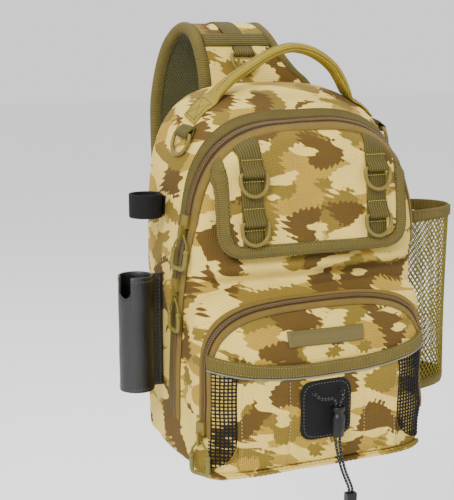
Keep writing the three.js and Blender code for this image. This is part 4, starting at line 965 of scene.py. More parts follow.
def make_pulls():
    """The three zip pulls: slider, cord through its tab, and a moulded handle on the cord's ends."""
    for name, seat_values in PULL_SEATS.items():
        seat = seat_axes(*seat_values)
        dress(f"slider_{name}", OLIVE_PLASTIC, 0.7)
        outline = [(10.5, -30), (10.5, -46), (9.2, -49.4), (5.5, -50.5), (0, -50.5)]
        path = [(x, PULL_DEPTH, z) for x, z in outline]
        path = path + [(-x, PULL_DEPTH, z) for x, z in outline[-2::-1]]
        run = on_seat(seat, smooth_run(path, 60))
        bow = tube(run, 2.5, 12, flat=0.92, normal=seat[2])
        caps = [tube(on_seat(seat, [(x, PULL_DEPTH, -29.2), (x, PULL_DEPTH, -30), (x, PULL_DEPTH, -34)]),
                     np.array([2.2, 2.9, 2.9]), 12) for x in (-10.5, 10.5)]
        grip = piece(f"pull_grip_{name}", join([bow, *caps]), PULL_PLASTIC, [f"pull_{name}"])
        eye = -13.9
        side = [(5 * math.sin(a), eye - 5 * (1 - math.cos(a))) for a in (0.4189, 0.8378, 1.2566)]
        side = side + [(9.45, -24), (10.5, -27), (10.5, -29.7)]
        route = [(-x, z) for x, z in side[::-1]] + [(0, eye)] + side
        route = on_seat(seat, [(x, PULL_DEPTH, z) for x, z in route])
        cord(f"pull_cord_{name}", route, 1.2, OLIVE_CORD, [f"cord_{name}"])


make_bungee()
make_pulls()


# Body
def make_body():
    """The camouflage shell and the front panel inside the main zip."""
    rows = BODY.points
    middle = rows[0].mean(0)
    shrink = np.linspace(0, 1, 14)[:-1, None, None]
    back = middle + (rows[0] - middle) * shrink
    flat, faces, cloth = loops(np.concatenate([back, rows]), None)
    faces = np.array(faces)
    centre = flat[faces].mean(1)
    front = (centre[:, 1] < zip_depth(centre[:, 2])) & (centre[:, 2] > BASE)
    piece("bag_shell", (flat, faces[~front], cloth), CAMO, ["main_shell"])
    piece("front_face", (flat, faces[front], cloth), CAMO, ["front_panel"])


def make_zip_coil(name, grid, pitch, wide):
    """Two rows of moulded teeth along a grid's middle columns."""
    normal = normals(grid, MIDDLE)
    middle = grid.shape[1] // 2
    line = even(np.concatenate([grid[:, middle], normal[:, middle],
                                grid[:, middle + 1] - grid[:, middle - 1]], 1), step=pitch)
    point, up, across = line[:, :3], line[:, 3:6], line[:, 6:]
    up = unit(up)
    across = unit(across)
    along = np.cross(up, across)
    corners = np.array([(a, b, c) for a in (-1, 1) for b in (-1, 1) for c in (0, 1)], float)
    faces = np.array([(0, 1, 3, 2), (4, 6, 7, 5), (0, 4, 5, 1), (2, 3, 7, 6), (1, 5, 7, 3), (0, 2, 6, 4)])
    shapes = []
    for side in (-1, 1):
        shift = side * wide * 0.27
        a = corners[:, 0] * wide * 0.25 + shift
        b = corners[:, 1] * pitch * 0.32 * (1 - 0.3 * corners[:, 2]) + corners[:, 0] * side * pitch * 0.2
        c = corners[:, 2] * 1.1 + 1.5
        offset = pitch / 2 * (side > 0)
        solid = (point[:, None] + across[:, None] * a[None, :, None] + up[:, None] * c[None, :, None]
                 + along[:, None] * (b[None, :, None] + offset))
        count = len(point)
        all_faces = (faces[None] + (np.arange(count) * 8)[:, None, None]).reshape(-1, 4)
        shapes.append((solid.reshape(-1, 3), all_faces.tolist(), np.zeros((count * 8, 2))))
    piece(name, join(shapes), COIL, sharp=30)


def make_main_zip():
    """Welt tape, zip tape with its coil, and the ribbed band outside them."""
    welt = along_zip(np.linspace(*MAIN_WELT, 7))
    cloth_layer("main_welt", welt, GAP, WELT_HEIGHT, WELT_TAPE, ["main_zip"])
    shifts = np.linspace(*MAIN_TAPE, 9)
    height = 1.4 + 0.5 * bell(shifts, -4, 0.9) + 0.5 * bell(shifts, 4.4, 0.9)
    cloth_layer("main_zip_tape", along_zip(shifts), 0.2, height, ZIP_TAPE)
    make_zip_coil("main_zip_coil", along_zip((-1.0, 0.2, 1.4), 900), TOOTH_PITCH, 4.6)
    band = along_zip(np.linspace(*GUSSET_BAND, 9))
    cloth_layer("gusset_band_tape", band, GAP, BAND_HEIGHT, GUSSET_TAPE, ["gusset_band"])
    runs = [row_on(along_zip((shift - 1, shift, shift + 1), 700), 1, BAND_HEIGHT) for shift in (6.6, 16.0)]
    stitches("gusset_band_stitches", runs, DARK_THREAD)
    stitches("main_welt_stitches", [row_on(along_zip((-7, -6, -5), 700), 1, WELT_HEIGHT)], ZIP_THREAD)


# Upper pocket
def flap_half(z):
    """Half the flap's width at a height: the lower corners are cut round."""
    rise = np.clip((z - FLAP_LOW) / FLAP_CORNER, 0, 1)
    t = np.clip((-0.2 + np.sqrt(0.04 + 4 * 0.8 * rise)) / 1.6, 0, 1)
    start = FLAP_HALF - 0.8 * FLAP_CORNER
    return start * (1 - t) ** 2 + 2 * t * (1 - t) * FLAP_HALF + t * t * FLAP_HALF


WELT_LINE = along_zip((-13.2,), 400)[200:, 0]


def welt_half(z):
    """Half the width between the welt tape's inner edges at a height."""
    return np.interp(-z, -WELT_LINE[:, 2], WELT_LINE[:, 0])


def welt_height(x):
    """Height of the welt tape's inner edge over the front, at a distance from the middle."""
    return np.interp(np.abs(x), WELT_LINE[:, 0], WELT_LINE[:, 2])


def flap_edge(inset, count=200):
    """The flap's edge from its upper left corner, along the bottom, to its upper right corner."""
    z = FLAP_LOW + (welt_height(FLAP_HALF - BINDING) + 2 - FLAP_LOW) * np.linspace(1, 0, 160) ** 1.6
    left = np.stack([-flap_half(z), z], -1)
    edge = even(np.concatenate([left, (left * (-1, 1))[::-1]]), count)
    along = unit(np.gradient(edge, axis=0))
    inward = np.stack([-along[:, 1], along[:, 0]], -1)
    return edge[:, None] + inward[:, None] * np.asarray(inset, float)[None, :, None]


def on_flap(x, z):
    """Points of the flap's skin: the body's front, leaning forward from the sewn top edge. What lies
    past the welt is drawn in under it."""
    limit = welt_half(z) + 1
    points = BODY.drape(np.clip(x, -limit, limit), z)
    tuck = ramp(points[..., 2] - welt_height(points[..., 0]), -8, 0.5)
    points[..., 1] += FLAP_LEAN * (points[..., 2] - FLAP_HINGE) * (1 - tuck) + 5 * tuck
    return points


def make_upper_pocket():
    """The bound flap, the pocket's sides under it, and the strips with their rings' loops."""
    across = np.linspace(-1, 1, 110)[None, :]
    top = welt_height(across * FLAP_HALF) - 0.3
    z = FLAP_LOW + (top - FLAP_LOW) * np.linspace(0, 1, 60)[:, None]
    x = across * flap_half(z)
    sheet = on_flap(x, z)
    slack = 0.5 * ripple(sheet, 55, 21)
    flat = normals(BODY.drape(x, z), MIDDLE)
    top_face = FLAP_STAND + FLAP_THICK
    cloth_layer("flap_canvas", sheet, FLAP_STAND, top_face + slack, CAMO, ["upper_flap"], normal=flat)
    grid = flap_edge(np.linspace(0, BINDING, 7))
    edge = on_flap(grid[..., 0], grid[..., 1])
    far = top_face + GAP + 1.2 + 0.5 * bell(np.linspace(0, 1, 7), 0.5, 0.35)
    normal = normals(BODY.drape(grid[..., 0], grid[..., 1]), MIDDLE)
    cloth_layer("flap_edge_binding", edge, FLAP_STAND - 0.4, far, BINDING_TAPE, ["flap_binding"],
                normal=normal)
    rise = top_face + 1.7
    edge = edge[3:-3]
    normal = normal[3:-3]
    inner = edge[:, 6] + normal[:, 6] * (rise - 0.3)
    outer = edge[:, 1] + normal[:, 1] * (rise + 0.1)
    runs = [(inner + (edge[:, 5] - edge[:, 6]) * 0.6, normal[:, 5]), (outer, normal[:, 1])]
    stitches("flap_binding_stitches", runs, DARK_THREAD, 2.2, 1.0)
    swing = np.where(np.arange(len(edge)) % 2, 1, -1)[:, None]
    zig = edge[:, 5] + (edge[:, 4] - edge[:, 6]) * 0.4 * swing + normal[:, 5] * rise
    stitches("flap_zigzag", [(zig, normal[:, 5])], OLIVE_THREAD, 1.6, 1.4, 0.3)

    wall = flap_edge((9.0, 9.1), 160)[:, 0]
    back = BODY.drape(wall[:, 0], wall[:, 1])
    front = on_flap(wall[:, 0], wall[:, 1])
    front[:, 1] -= FLAP_STAND - 0.4
    share = np.linspace(0, 1, 6)[None, :, None]
    side = back[:, None] * (1 - share) + front[:, None] * share
    puff = np.sin(np.linspace(0, math.pi, 6)) * 2.4
    along = np.gradient(wall, axis=0)
    outward = unit(xyz(along[:, 1], 0, -along[:, 0]))
    side = side + outward[:, None] * puff[None, :, None]
    cloth_layer("upper_pocket_sides", side, -1.6, 0.2, CAMO, ["upper_pocket"], (0, -60, 330))

    rows, threads = [], []
    for side_name, sign in (("left", -1), ("right", 1)):
        x = sign * STRIP_X + np.linspace(-WEBBING / 2, WEBBING / 2, 9)[None, :]
        z = FLAP_LOW + 12 + (welt_height(x) - 0.3 - FLAP_LOW - 12) * np.linspace(0, 1, 60)[:, None]
        near = top_face - 0.3
        solid = layer(on_flap(x, z), near, near + 1.8, MIDDLE)
        shapes = [loops(solid, width=WEBBING)]
        for level in ("upper", "lower"):
            seat = ring_seat(f"ring_{level}_{side_name}")
            shapes.append(ring_loop(seat, 17))
            for listed, depth, height in ((rows, 2.2, 15.4), (threads, 2.0, -7.5)):
                row = on_seat(seat, [(x, depth, height) for x in np.linspace(-11.5, 11.5, 12)])
                listed.append((row, -seat[2]))
        piece(f"ribbed_strip_{side_name}", join(shapes), OLIVE_WEBBING, [f"webbing_strip_{side_name}"])
    stitches("strip_stitches", rows + threads, YELLOW_THREAD, 1.8, 1.1, 0.45, 0.2)


# Rings
SEAT_IN = {"upper": (0, 1, 0), "lower": (0, 1, 0), "strap": (0, 1, 0), "side": (0, 0, -1)}


def ring_seat(name):
    """Seat of a ring's bar from its joint: across along the bar, up away from the hanging ring."""
    joint = [j for j in frame["joints"] if j["child"] == name][0]
    bar = (np.array(joint["pos_m"]) - ORIGIN) * 1000
    across = unit(np.array(joint["axis"], float))
    middle = node_frame(name)[0]
    up = bar - middle
    up = unit(up - across * up.dot(across))
    inward = np.cross(up, across)
    if inward.dot(SEAT_IN[name.split("_")[1]]) < 0:
        across = -across
        inward = -inward
    return bar, across, inward, up


def ring_loop(seat, tab, width=WEBBING):
    """Webbing folded around a ring's bar, in the seat's own axes."""
    angle = np.linspace(math.pi, 2 * math.pi, 11)
    fold = [(LOOP_BEND * math.cos(a), LOOP_BEND * math.sin(a)) for a in angle]
    profile = [(LOOP_BEND, tab), (LOOP_BEND - 0.1, tab - 4), (2.0, 9.0), (-0.2, 5.2), (-2.4, 2.5)]
    profile = np.array(profile + fold + [(LOOP_BEND, 2.0)])
    run = smooth_run(xyz(0, profile[:, 0], profile[:, 1]), 50)
    across = np.linspace(-width / 2, width / 2, 9)
    grid = run[:, None] + np.array((1, 0, 0)) * across[None, :, None]
    along = np.gradient(run, axis=0)
    out = unit(np.cross(along, (1, 0, 0)))
    if out[0, 1] > 0:
        out = -out
    solid = layer(grid, -WEBBING_THICK / 2, WEBBING_THICK / 2, normal=out[:, None])
    return loops(on_seat(seat, solid), width=width)


def make_rings():
    """Glossy D-rings on their own bodies."""
    for joint in frame["joints"]:
        name = joint["child"]
        seat = ring_seat(name)
        bow = np.linspace(0, -math.pi, 25)
        path = [(-BAR_HALF + 3, 0, 0), (0, 0, 0), (BAR_HALF - 3, 0, 0), (BAR_HALF - 0.9, 0, -0.9),
                (BAR_HALF, 0, -3)]
        path += [(BAR_HALF * math.cos(a), 0, -RING_LEG + BAR_HALF * math.sin(a)) for a in bow]
        path += [(-BAR_HALF, 0, -3), (-BAR_HALF + 0.9, 0, -0.9), (-BAR_HALF + 3, 0, 0)]
        run = smooth_run(path, 97)[:-1]
        shape = tube(on_seat(seat, run), WIRE, 12, ring=True, normal=seat[2])
        piece(f"d_{name}", shape, OLIVE_PLASTIC, [name], name)


def make_side_tabs():
    """Webbing tabs beside the handle's ends, sewn to the bag."""
    runs = []
    for side in ("left", "right"):
        seat = ring_seat(f"ring_side_{side}")
        foot = xyz(np.linspace(-WEBBING / 2, WEBBING / 2, 9), 4.6, np.linspace(-3, 11, 8)[:, None])
        solid = layer(foot, -0.9, 0.9, normal=(0, -1, 0))
        shape = join([ring_loop(seat, 11), loops(on_seat(seat, solid), width=WEBBING)])
        piece(f"side_ring_tab_{side}", shape, OLIVE_WEBBING, [f"side_tab_{side}"])
        runs.append((on_seat(seat, [(x, 2.4, 9.0) for x in (-11, 0, 11)]), -seat[2]))
    stitches("side_tab_stitches", runs, YELLOW_THREAD, 1.8, 1.1, 0.4)


# Front pocket
def make_front_pocket():
    """The bulging cup and its zip."""
    first = int(np.argmax(POCKET.depth_y < FRONT + 22))
    piece("pocket_cup", loops(POCKET.points[first:], None), CAMO, ["front_pocket"])
    for name, edges, count, near, far, material, replaces in (
        ("pocket_zip_outer_tape", POCKET_OUTER, 5, GAP, BAND_HEIGHT, WELT_TAPE, ()),
        ("pocket_zip_tape", POCKET_TAPE, 7, 0.2, 1.3, ZIP_TAPE, ["front_pocket_zip"]),
        ("pocket_zip_welt", POCKET_WELT, 5, GAP, POCKET_WELT_HEIGHT, WELT_TAPE, ()),
    ):
        tape = along_pocket_zip(np.linspace(*edges, count))
        cloth_layer(name, tape, near, far, material, replaces, POCKET_MIDDLE)
    make_zip_coil("pocket_zip_coil", along_pocket_zip((-1.6, -0.6, 0.4), 700), TOOTH_PITCH, 3.8)
    row = row_on(along_pocket_zip((-7.4, -6.4, -5.4), 500), 1, POCKET_WELT_HEIGHT, POCKET_MIDDLE)
    stitches("pocket_zip_stitches", [row], ZIP_THREAD)


def on_pocket(x, z):
    """Points of the front pocket's skin."""
    return POCKET.drape(x, z)


def band_lift(x):
    """How far the olive band rises towards its ends."""
    return BAND_RISE * np.abs(x / BAND_END) ** 2.5


def make_tool_pocket():
    """The camouflage tool panel, olive band, reflective piping, base piping and blank label."""
    x = np.linspace(PANEL_LEFT, PANEL_RIGHT, 110)[None, :]
    z = np.linspace(PANEL_LOW, BAND_LOW + 9, 60)[:, None]
    panel = on_pocket(x, z)
    seams = sum(bell(x, seam, 2.2) for seam in SEAMS)
    far = 2.3 - 1.3 * seams + 0.35 * ripple(panel, 24, 31) - 0.8 * bell(z, PANEL_LOW, 6)
    cloth_layer("tool_panel", panel, GAP, far, CAMO, ["tool_pocket"], PANEL_MIDDLE)
    runs = []
    normal = normals(panel, PANEL_MIDDLE)
    for at in (*SEAMS, PANEL_LEFT + 3.5, PANEL_RIGHT - 3.5):
        column = int(np.argmin(np.abs(x[0] - at)))
        up = normal[2:-6, column]
        runs.append((panel[2:-6, column] + up * (far[2:-6, column, None] + 0.1), up))
    stitches("tool_panel_stitches", runs, TAN_THREAD, 2.6, 1.4, 0.38)

    x = np.linspace(-BAND_END, BAND_END, 150)[:, None]
    share = np.linspace(0, 1, 7)[None, :]
    band = on_pocket(x, BAND_LOW + share * BAND_WIDE + band_lift(x))
    puff = 0.5 * np.sin(share * math.pi)
    cloth_layer("pocket_band_tape", band, 2.0, 3.9 + puff, BINDING_TAPE, ["pocket_band"], PANEL_MIDDLE)
    runs = [row_on(band, column, 4.2, PANEL_MIDDLE, 2) for column in (1, 5)]
    stitches("pocket_band_stitches", runs, OLIVE_THREAD, 2.4, 1.6, 0.4)
    low_edge = row_on(band, 0, 3.0, PANEL_MIDDLE)[0] + np.array((0, 0, -0.9))
    piece("reflective_piping", tube(low_edge, 0.95, 8), REFLECTIVE)

    x = np.linspace(-128, 128, 220)[:, None]
    run = row_on(on_pocket(x, PIPING_Z + np.array((-2, 0, 2))), 1, 2.6, PANEL_MIDDLE)[0]
    twist = 1 + 0.10 * np.sin(np.arange(len(run)) * 1.25)
    piece("base_rope_piping", tube(run, 2.9 * twist, 12), CAMO, ["base_piping"])

    half_x, half_z = LABEL_HALF
    x = np.linspace(-half_x, half_x, 60)[None, :]
    z = np.linspace(LABEL_Z - half_z, LABEL_Z + half_z, 18)[:, None]
    edge = np.minimum(half_x - np.abs(x), half_z - np.abs(z - LABEL_Z))
    rim = 1.5 + 1.9 * bell(edge, 2.2, 1.0)
    cloth_layer("rubber_label", on_pocket(x, z), 0.1, rim, RUBBER, ["blank_label"], PANEL_MIDDLE, edge=0.7)


def grid_strands(lines, radius, sides=5):
    """Many strands as one shape."""
    return join([tube(line, radius, sides) for line in lines if len(line) > 1])


def make_meshes():
    """Black square mesh at both ends of the tool pocket, with a piped lower edge."""
    for side, inner, sign in (("left", PANEL_LEFT, -1), ("right", PANEL_RIGHT, 1)):
        outer = sign * PANEL_END

        def lowest(x):
            share = np.clip(1 - ((x - outer) / (outer - inner)) ** 2, 0, 1)
            return MESH_SIDE_LOW - 36 * np.sqrt(share)

        def highest(x):
            return BAND_LOW + 3 + band_lift(x)

        lines = []
        for x in np.arange(inner + sign * 1.2, outer, sign * MESH_PITCH):
            lines.append(on_pocket(x, np.arange(lowest(x), highest(x), 3.0)))
        for z in np.arange(18, BAND_LOW + BAND_RISE, MESH_PITCH):
            x = np.linspace(inner, outer, 22)
            x = x[(z > lowest(x)) & (z < highest(x))]
            if len(x) > 2:
                lines.append(on_pocket(x, z))
        lifted = []
        for line in lines:
            away = (line - np.array((0, -60, 70))) * (1, 1, 0.3)
            lifted.append(line + unit(away) * MESH_LIFT)
        piece(f"square_mesh_{side}", grid_strands(lifted, 0.8), BLACK_CORD, [f"mesh_{side}"])
        x = inner + (outer - inner) * np.sin(np.linspace(0, math.pi / 2, 30))
        upright = on_pocket(np.full(11, inner), np.linspace(BAND_LOW, MESH_SIDE_LOW, 12)[:-1])
        edge = np.concatenate([upright, on_pocket(x, lowest(x))])
        edge[:, 1] -= 0.8
        piece(f"mesh_edge_{side}", tube(smooth_run(edge, 80), 1.1, 8), CAMO)


def cut_corners(half_x, half_z, corner, steps):
    """Grids of x and z over a rectangle with round corners, from its middle."""
    v = np.linspace(-1, 1, steps)
    from_edge = half_z * (1 - np.abs(v))
    round_off = corner - np.sqrt(np.maximum(corner ** 2 - (corner - from_edge) ** 2, 0))
    cut = np.where(from_edge < corner, round_off, 0)
    x = np.linspace(-1, 1, steps)[None, :] * (half_x - cut)[:, None]
    return x, (half_z * v)[:, None] + 0 * x


def make_holder():
    """The stitched patch of the pliers holder with two eyelets."""
    half_x, half_z = HOLDER_HALF
    centre_z = HOLDER_TOP - half_z
    x, z = cut_corners(half_x, half_z, HOLDER_CORNER, 40)
    patch = on_pocket(HOLDER_X + x, centre_z + z)
    cloth_layer("holder_patch", patch, 2.4, 4.5, BLACK_WEAVE, ["pliers_patch"], PANEL_MIDDLE)
    angle = np.linspace(0, 2 * math.pi, 90)
    c, s = np.cos(angle), np.sin(angle)
    run = on_pocket(HOLDER_X + (half_x - HOLDER_SEAM) * np.sign(c) * np.abs(c) ** 0.4,
                    centre_z + (half_z - HOLDER_SEAM) * np.sign(s) * np.abs(s) ** 0.4)
    run[:, 1] -= 4.7
    stitches("holder_stitches", [(run, (0, -1, 0))], GREY_THREAD, 2.4, 1.4, 0.35)
    shapes = []
    angle = turn(24)
    for sign in (-1, 1):
        x = HOLDER_X + sign * EYELET_SPREAD
        y = float(on_pocket(x, EYELET_Z)[1]) - 4.9
        ring = xyz(x + 2.4 * np.cos(angle), y, EYELET_Z + 2.4 * np.sin(angle))
        shapes.append(tube(ring, 0.8, 8, ring=True))
    piece("holder_eyelets", join(shapes), BLACK_PLASTIC)


# Carry handle and shoulder strap
HANDLE_ROWS = np.array([
    # across, rise, grip
    (-1, 0, 0.35), (-0.8, 0.27, 0.8), (-0.48, 0.59, 1), (-0.18, 0.86, 1), (0.1, 1, 1), (0.36, 0.97, 1),
    (0.6, 0.82, 1), (0.84, 0.53, 1), (0.98, 0.2, 0.8), (1.04, 0, 0.35),
])


def top_of_bag(x):
    """Height of the bag's top under the handle."""
    return BODY.tree.ray_cast(Vector((x, HANDLE_Y, ABOVE)), Vector((0, 0, -1)))[0].z


def rolled(count, width, thickness, power):
    """A closed section: an oval that grows square as its power rises."""
    angle = turn(count) + math.pi
    c, s = np.cos(angle), -np.sin(angle)
    u = width / 2 * np.sign(c) * np.abs(c) ** (2 / power)
    v = thickness / 2 * np.sign(s) * np.abs(s) ** (2 / power)
    return np.stack([u, v], -1)


def make_handle():
    """Rolled webbing grip with flat sewn ends."""
    feet = np.array((112, 98.6, 86))
    foot = top_of_bag(HANDLE_GRIP) + 5.5
    left = [(-x, top_of_bag(-x) + 2.0, 0.0) for x in feet]
    grip = [(HANDLE_GRIP * a, foot + (HANDLE_TOP - foot) * r, g) for a, r, g in HANDLE_ROWS]
    right = [(x, top_of_bag(x) + 2.0, 0.0) for x in feet[::-1]]
    run = smooth_run(left + grip + right, 150)
    points = xyz(run[:, 0], HANDLE_Y, run[:, 1])
    along = unit(np.gradient(points, axis=0))
    rolls = np.clip(run[:, 2], 0, 1)
    slope = 0.26 * (1 - rolls)[:, None]
    across = np.concatenate([0 * slope, np.cos(slope), np.sin(slope)], 1)
    out = unit(np.cross(along, across))
    solid = []
    for point, side, direction, roll in zip(points, across, out, rolls):
        section = rolled(36, 32 - 12 * roll, 3 + 8 * roll, 5 - 2.4 * roll)
        solid.append(point + section[:, :1] * side + section[:, 1:] * direction)
    piece("rolled_handle", loops(np.array(solid), "face"), HANDLE_WEBBING, ["carry_handle"])
    up = out if out[75, 2] > 0 else -out
    half_thick = (3 + 8 * rolls) / 2
    middle = slice(24, -24)
    line = points + up * (half_thick[:, None] + 0.15)
    runs = [(line[middle] - across[middle] * 3.0, up[middle])]
    for start, end in ((2, 17), (-18, -3)):
        part = line[start:end]
        rise = up[start:end]
        share = np.linspace(-1, 1, len(part))[:, None]
        wide = across[start:end] * 12.5
        runs += [(part + wide, rise), (part - wide, rise),
                 (part + wide * share, rise), (part - wide * share, rise)]
        for tip in (0, -1):
            row = part[tip] + wide[tip] * np.linspace(-1, 1, 10)[:, None]
            runs.append((row, rise[tip]))
    stitches("handle_stitches", runs, DARK_THREAD, 2.2, 1.2, 0.36)


STRAP_ROWS = np.array([
    # out, up, aside, width
    (0.068, 0.0, 0.06, 1.46), (0.075, 0.425, 0.05, 1.43), (0.103, 0.588, -0.05, 1.24),
    (0.155, 0.751, -0.135, 1.1), (0.25, 0.89, -0.18, 1.03), (0.379, 0.971, -0.205, 1.0),
    (0.526, 1.0, -0.21, 1.02), (0.672, 0.963, -0.25, 1.0), (0.802, 0.857, -0.3, 1.0),
    (0.897, 0.702, -0.34, 1.0), (0.957, 0.49, -0.38, 1.0), (0.991, 0.229, -0.41, 1.0),
    (1.0, -0.057, -0.42, 0.98), (0.965, -0.4, -0.43, 0.96), (0.88, -0.8, -0.45, 0.88),
    (0.75, -1.176, -0.49, 0.7), (0.7, -1.3, -0.51, 0.55),
])
TAIL_ROWS = np.array([
    # out, up, aside
    (0.685, -1.335, -0.515), (0.6, -1.53, -0.56), (0.48, -1.8, -0.64), (0.34, -2.08, -0.74),
    (0.2, -2.34, -0.85), (0.115, -2.52, -0.92), (0.085, -2.66, -0.95),
])


def strap_line(rows):
    """Strap points in the bag's millimetres from shares of its reach, rise and width."""
    out, up, aside = rows[:, :3].T
    return xyz(STRAP_WIDTH * aside, BACK + STRAP_REACH * out, STRAP_ROOT + STRAP_RISE * up)


class Strap:
    """Stations of the shoulder strap, with the directions across it and out of its camouflage face."""

    def __init__(self, count=170):
        points = strap_line(STRAP_ROWS)
        run = smooth_run(np.concatenate([points, STRAP_ROWS[:, 3:] * STRAP_WIDTH], 1), count)
        self.centre = run[:, :3]
        self.width = run[:, 3]
        along = np.gradient(self.centre, axis=0)
        along[:, 0] = 0
        self.along = unit(along)
        self.across = np.array((1.0, 0, 0))
        self.out = np.cross(self.across, self.along)

    def station(self, row):
        """The station nearest a row of the table."""
        place = strap_line(STRAP_ROWS)[int(row)]
        ahead = strap_line(STRAP_ROWS)[min(int(row) + 1, len(STRAP_ROWS) - 1)]
        target = place + (ahead - place) * (row - int(row))
        return int(np.argmin(np.linalg.norm(self.centre - target, axis=1)))

    def grid(self, depth, share, rows=slice(None)):
        """Points at a depth from the lining's face and a share of half the width."""
        half = self.width[rows, None, None] / 2
        lift = np.asarray(depth)[..., None] - STRAP_TOTAL / 2
        return (self.centre[rows, None] + self.out[rows, None] * lift
                + self.across * half * np.asarray(share)[None, :, None])


STRAP = Strap()


def make_strap():
    """Lining, pad, edge bindings, sewn webbing, ring loop, and the webbing down to the bag's corner."""
    share = np.linspace(-1, 1, 31)
    up = STRAP.out[:, None]
    solid = layer(STRAP.grid(0, share), -0.5 * (1 - share ** 8), LINING_THICK, normal=up, edge=1.0)
    piece("air_mesh_face", loops(solid), LINING, ["strap_lining"])
    base = STRAP.grid(0, share * 0.985)
    waves = 0.5 * ripple(base, 45, 41) + 0.25 * ripple(base, 18, 42)
    far = 6.8 + 4.5 * (1 - np.abs(share) ** 6)[None, :] ** 0.6 + waves
    solid = layer(base, LINING_THICK + GAP, far, normal=up, edge=0.6)
    pad = piece("camo_strap_pad", loops(solid), CAMO, ["strap_pad"])

    half = STRAP_TOTAL / 2
    for side, sign in (("left", -1), ("right", 1)):
        edge = STRAP.width[:, None] / 2
        lip = EDGE_BINDING
        outline = [(-lip, half - 1.0), (-lip * 0.5, half + 0.7), (-3, half + 0.9), (0.4, half - 1.2),
                   (1.7, half - 5), (1.7, -half + 5), (0.4, -half + 1.2), (-3, -half - 0.9),
                   (-lip * 0.5, -half - 0.9), (-lip, -half - 0.3)]
        fine = smooth_run(outline, 22)
        bend = unit(np.gradient(fine, axis=0))
        outward = np.stack([-bend[:, 1], bend[:, 0]], -1)
        section = np.concatenate([fine + outward * 0.6, (fine - outward * 0.6)[::-1]])
        solid = (STRAP.centre[:, None] + STRAP.across * (sign * (edge + section[None, :, 0]))[..., None]
                 + STRAP.out[:, None] * section[None, :, 1, None])
        piece(f"strap_edge_{side}", loops(solid), BINDING_TAPE, [f"strap_binding_{side}"])
    runs = []
    for sign in (-1, 1):
        seam = STRAP.centre + STRAP.across * (sign * (STRAP.width[:, None] / 2 - STRAP_SEAM))
        for depth, rise in ((half + 1.2, 1), (-half - 1.4, -1)):
            runs.append((seam + STRAP.out * depth, STRAP.out * rise))
    stitches("strap_edge_stitches", runs, DARK_THREAD, 2.6, 1.4, 0.36)

    first, last = STRAP.station(3.32), STRAP.station(4.1)
    rows = slice(first, last + 1)
    share = np.linspace(-0.8, 0.8, 15)
    cross_band = np.swapaxes(STRAP.grid(STRAP_TOTAL + 0.2, share, rows), 0, 1)
    solid = layer(cross_band, 0, BAND_THICK, normal=STRAP.out[None, rows])
    shapes = [loops(solid, width=lengths(cross_band, 1)[:, -1:])]
    rows = slice(last - 1, STRAP.station(9))
    wide = np.linspace(-WEBBING / 2, WEBBING / 2, 9)
    long_band = (STRAP.centre[rows, None] + STRAP.out[rows, None] * (STRAP_TOTAL / 2 + 0.3)
                 + STRAP.across * wide[None, :, None])
    solid = layer(long_band, 0, BAND_THICK, normal=STRAP.out[rows, None])
    shapes.append(loops(solid, width=WEBBING))
    piece("strap_bands", join(shapes), OLIVE_WEBBING, ["strap_webbing"])
    seat = ring_seat("ring_strap")
    piece("strap_ring_tab", ring_loop(seat, 10), OLIVE_WEBBING, ["strap_ring_loop"])

    tail = smooth_run(strap_line(TAIL_ROWS), 60)
    along = np.gradient(tail, axis=0)
    out = unit(np.cross((1, 0, 0), along))
    wide = np.linspace(-TAIL_WIDTH / 2, TAIL_WIDTH / 2, 13)
    grid = tail[:, None] + np.array((1, 0, 0)) * wide[None, :, None]
    solid = layer(grid, -WEBBING_THICK / 2, WEBBING_THICK / 2, normal=out[:, None])
    piece("tail_webbing", loops(solid, width=TAIL_WIDTH), OLIVE_WEBBING, ["lower_webbing"])
    dress("strap_buckle", BLACK_PLASTIC, 1.2)
    cushion("anchor_tab", *node_frame("strap_anchor"), 8, CAMO, ["strap_anchor"])


def cushion(name, middle, size, corner, material, replaces, channels=(), cross=()):
    """A flat pad on the back panel with a crowned face, rounded corners and sewn channels."""
    x, z = cut_corners(size[0] / 2, size[2] / 2, corner, 90)
    base = xyz(middle[0] + x, middle[1] - size[1] / 2, middle[2] + z)
    fall = (1 - np.abs(np.linspace(-1, 1, 90)) ** 10) ** 0.5
    crown = fall[None, :] * fall[:, None]
    height = size[1] * (0.45 + 0.55 * crown)
    for channel in channels:
        height = height - size[1] * 0.6 * bell(x, channel, 4) * crown
    for channel in cross:
        height = height - size[1] * 0.6 * bell(z, channel, 4) * crown
    height = np.minimum(height + 0.4 * ripple(base, 50, 55), size[1] + 1.5)
    solid = layer(base, 0, height, normal=(0, 1, 0), edge=0.5)
    return piece(name, loops(solid, width=size[0]), material, replaces)


def make_back_pad():
    """Air-mesh padding of the back panel with sewn channels."""
    pad = cushion("air_mesh_back_pad", *node_frame("back_pad"), 26, LINING, ["back_pad"],
                  channels=(-38, 38), cross=(-70, 40))


# Sides
def bottle_outline(grow=0.0, count=120):
    """The bottle pocket's outline seen from above, from its front edge round to its back edge."""
    angle = np.linspace(0, math.pi, 400)
    x = HALF + GAP + (BOTTLE_REACH + grow) * np.sin(angle) ** 0.8
    y = BOTTLE_Y - (BOTTLE_HALF + grow) * np.cos(angle)
    return even(np.stack([x, y], -1), count)


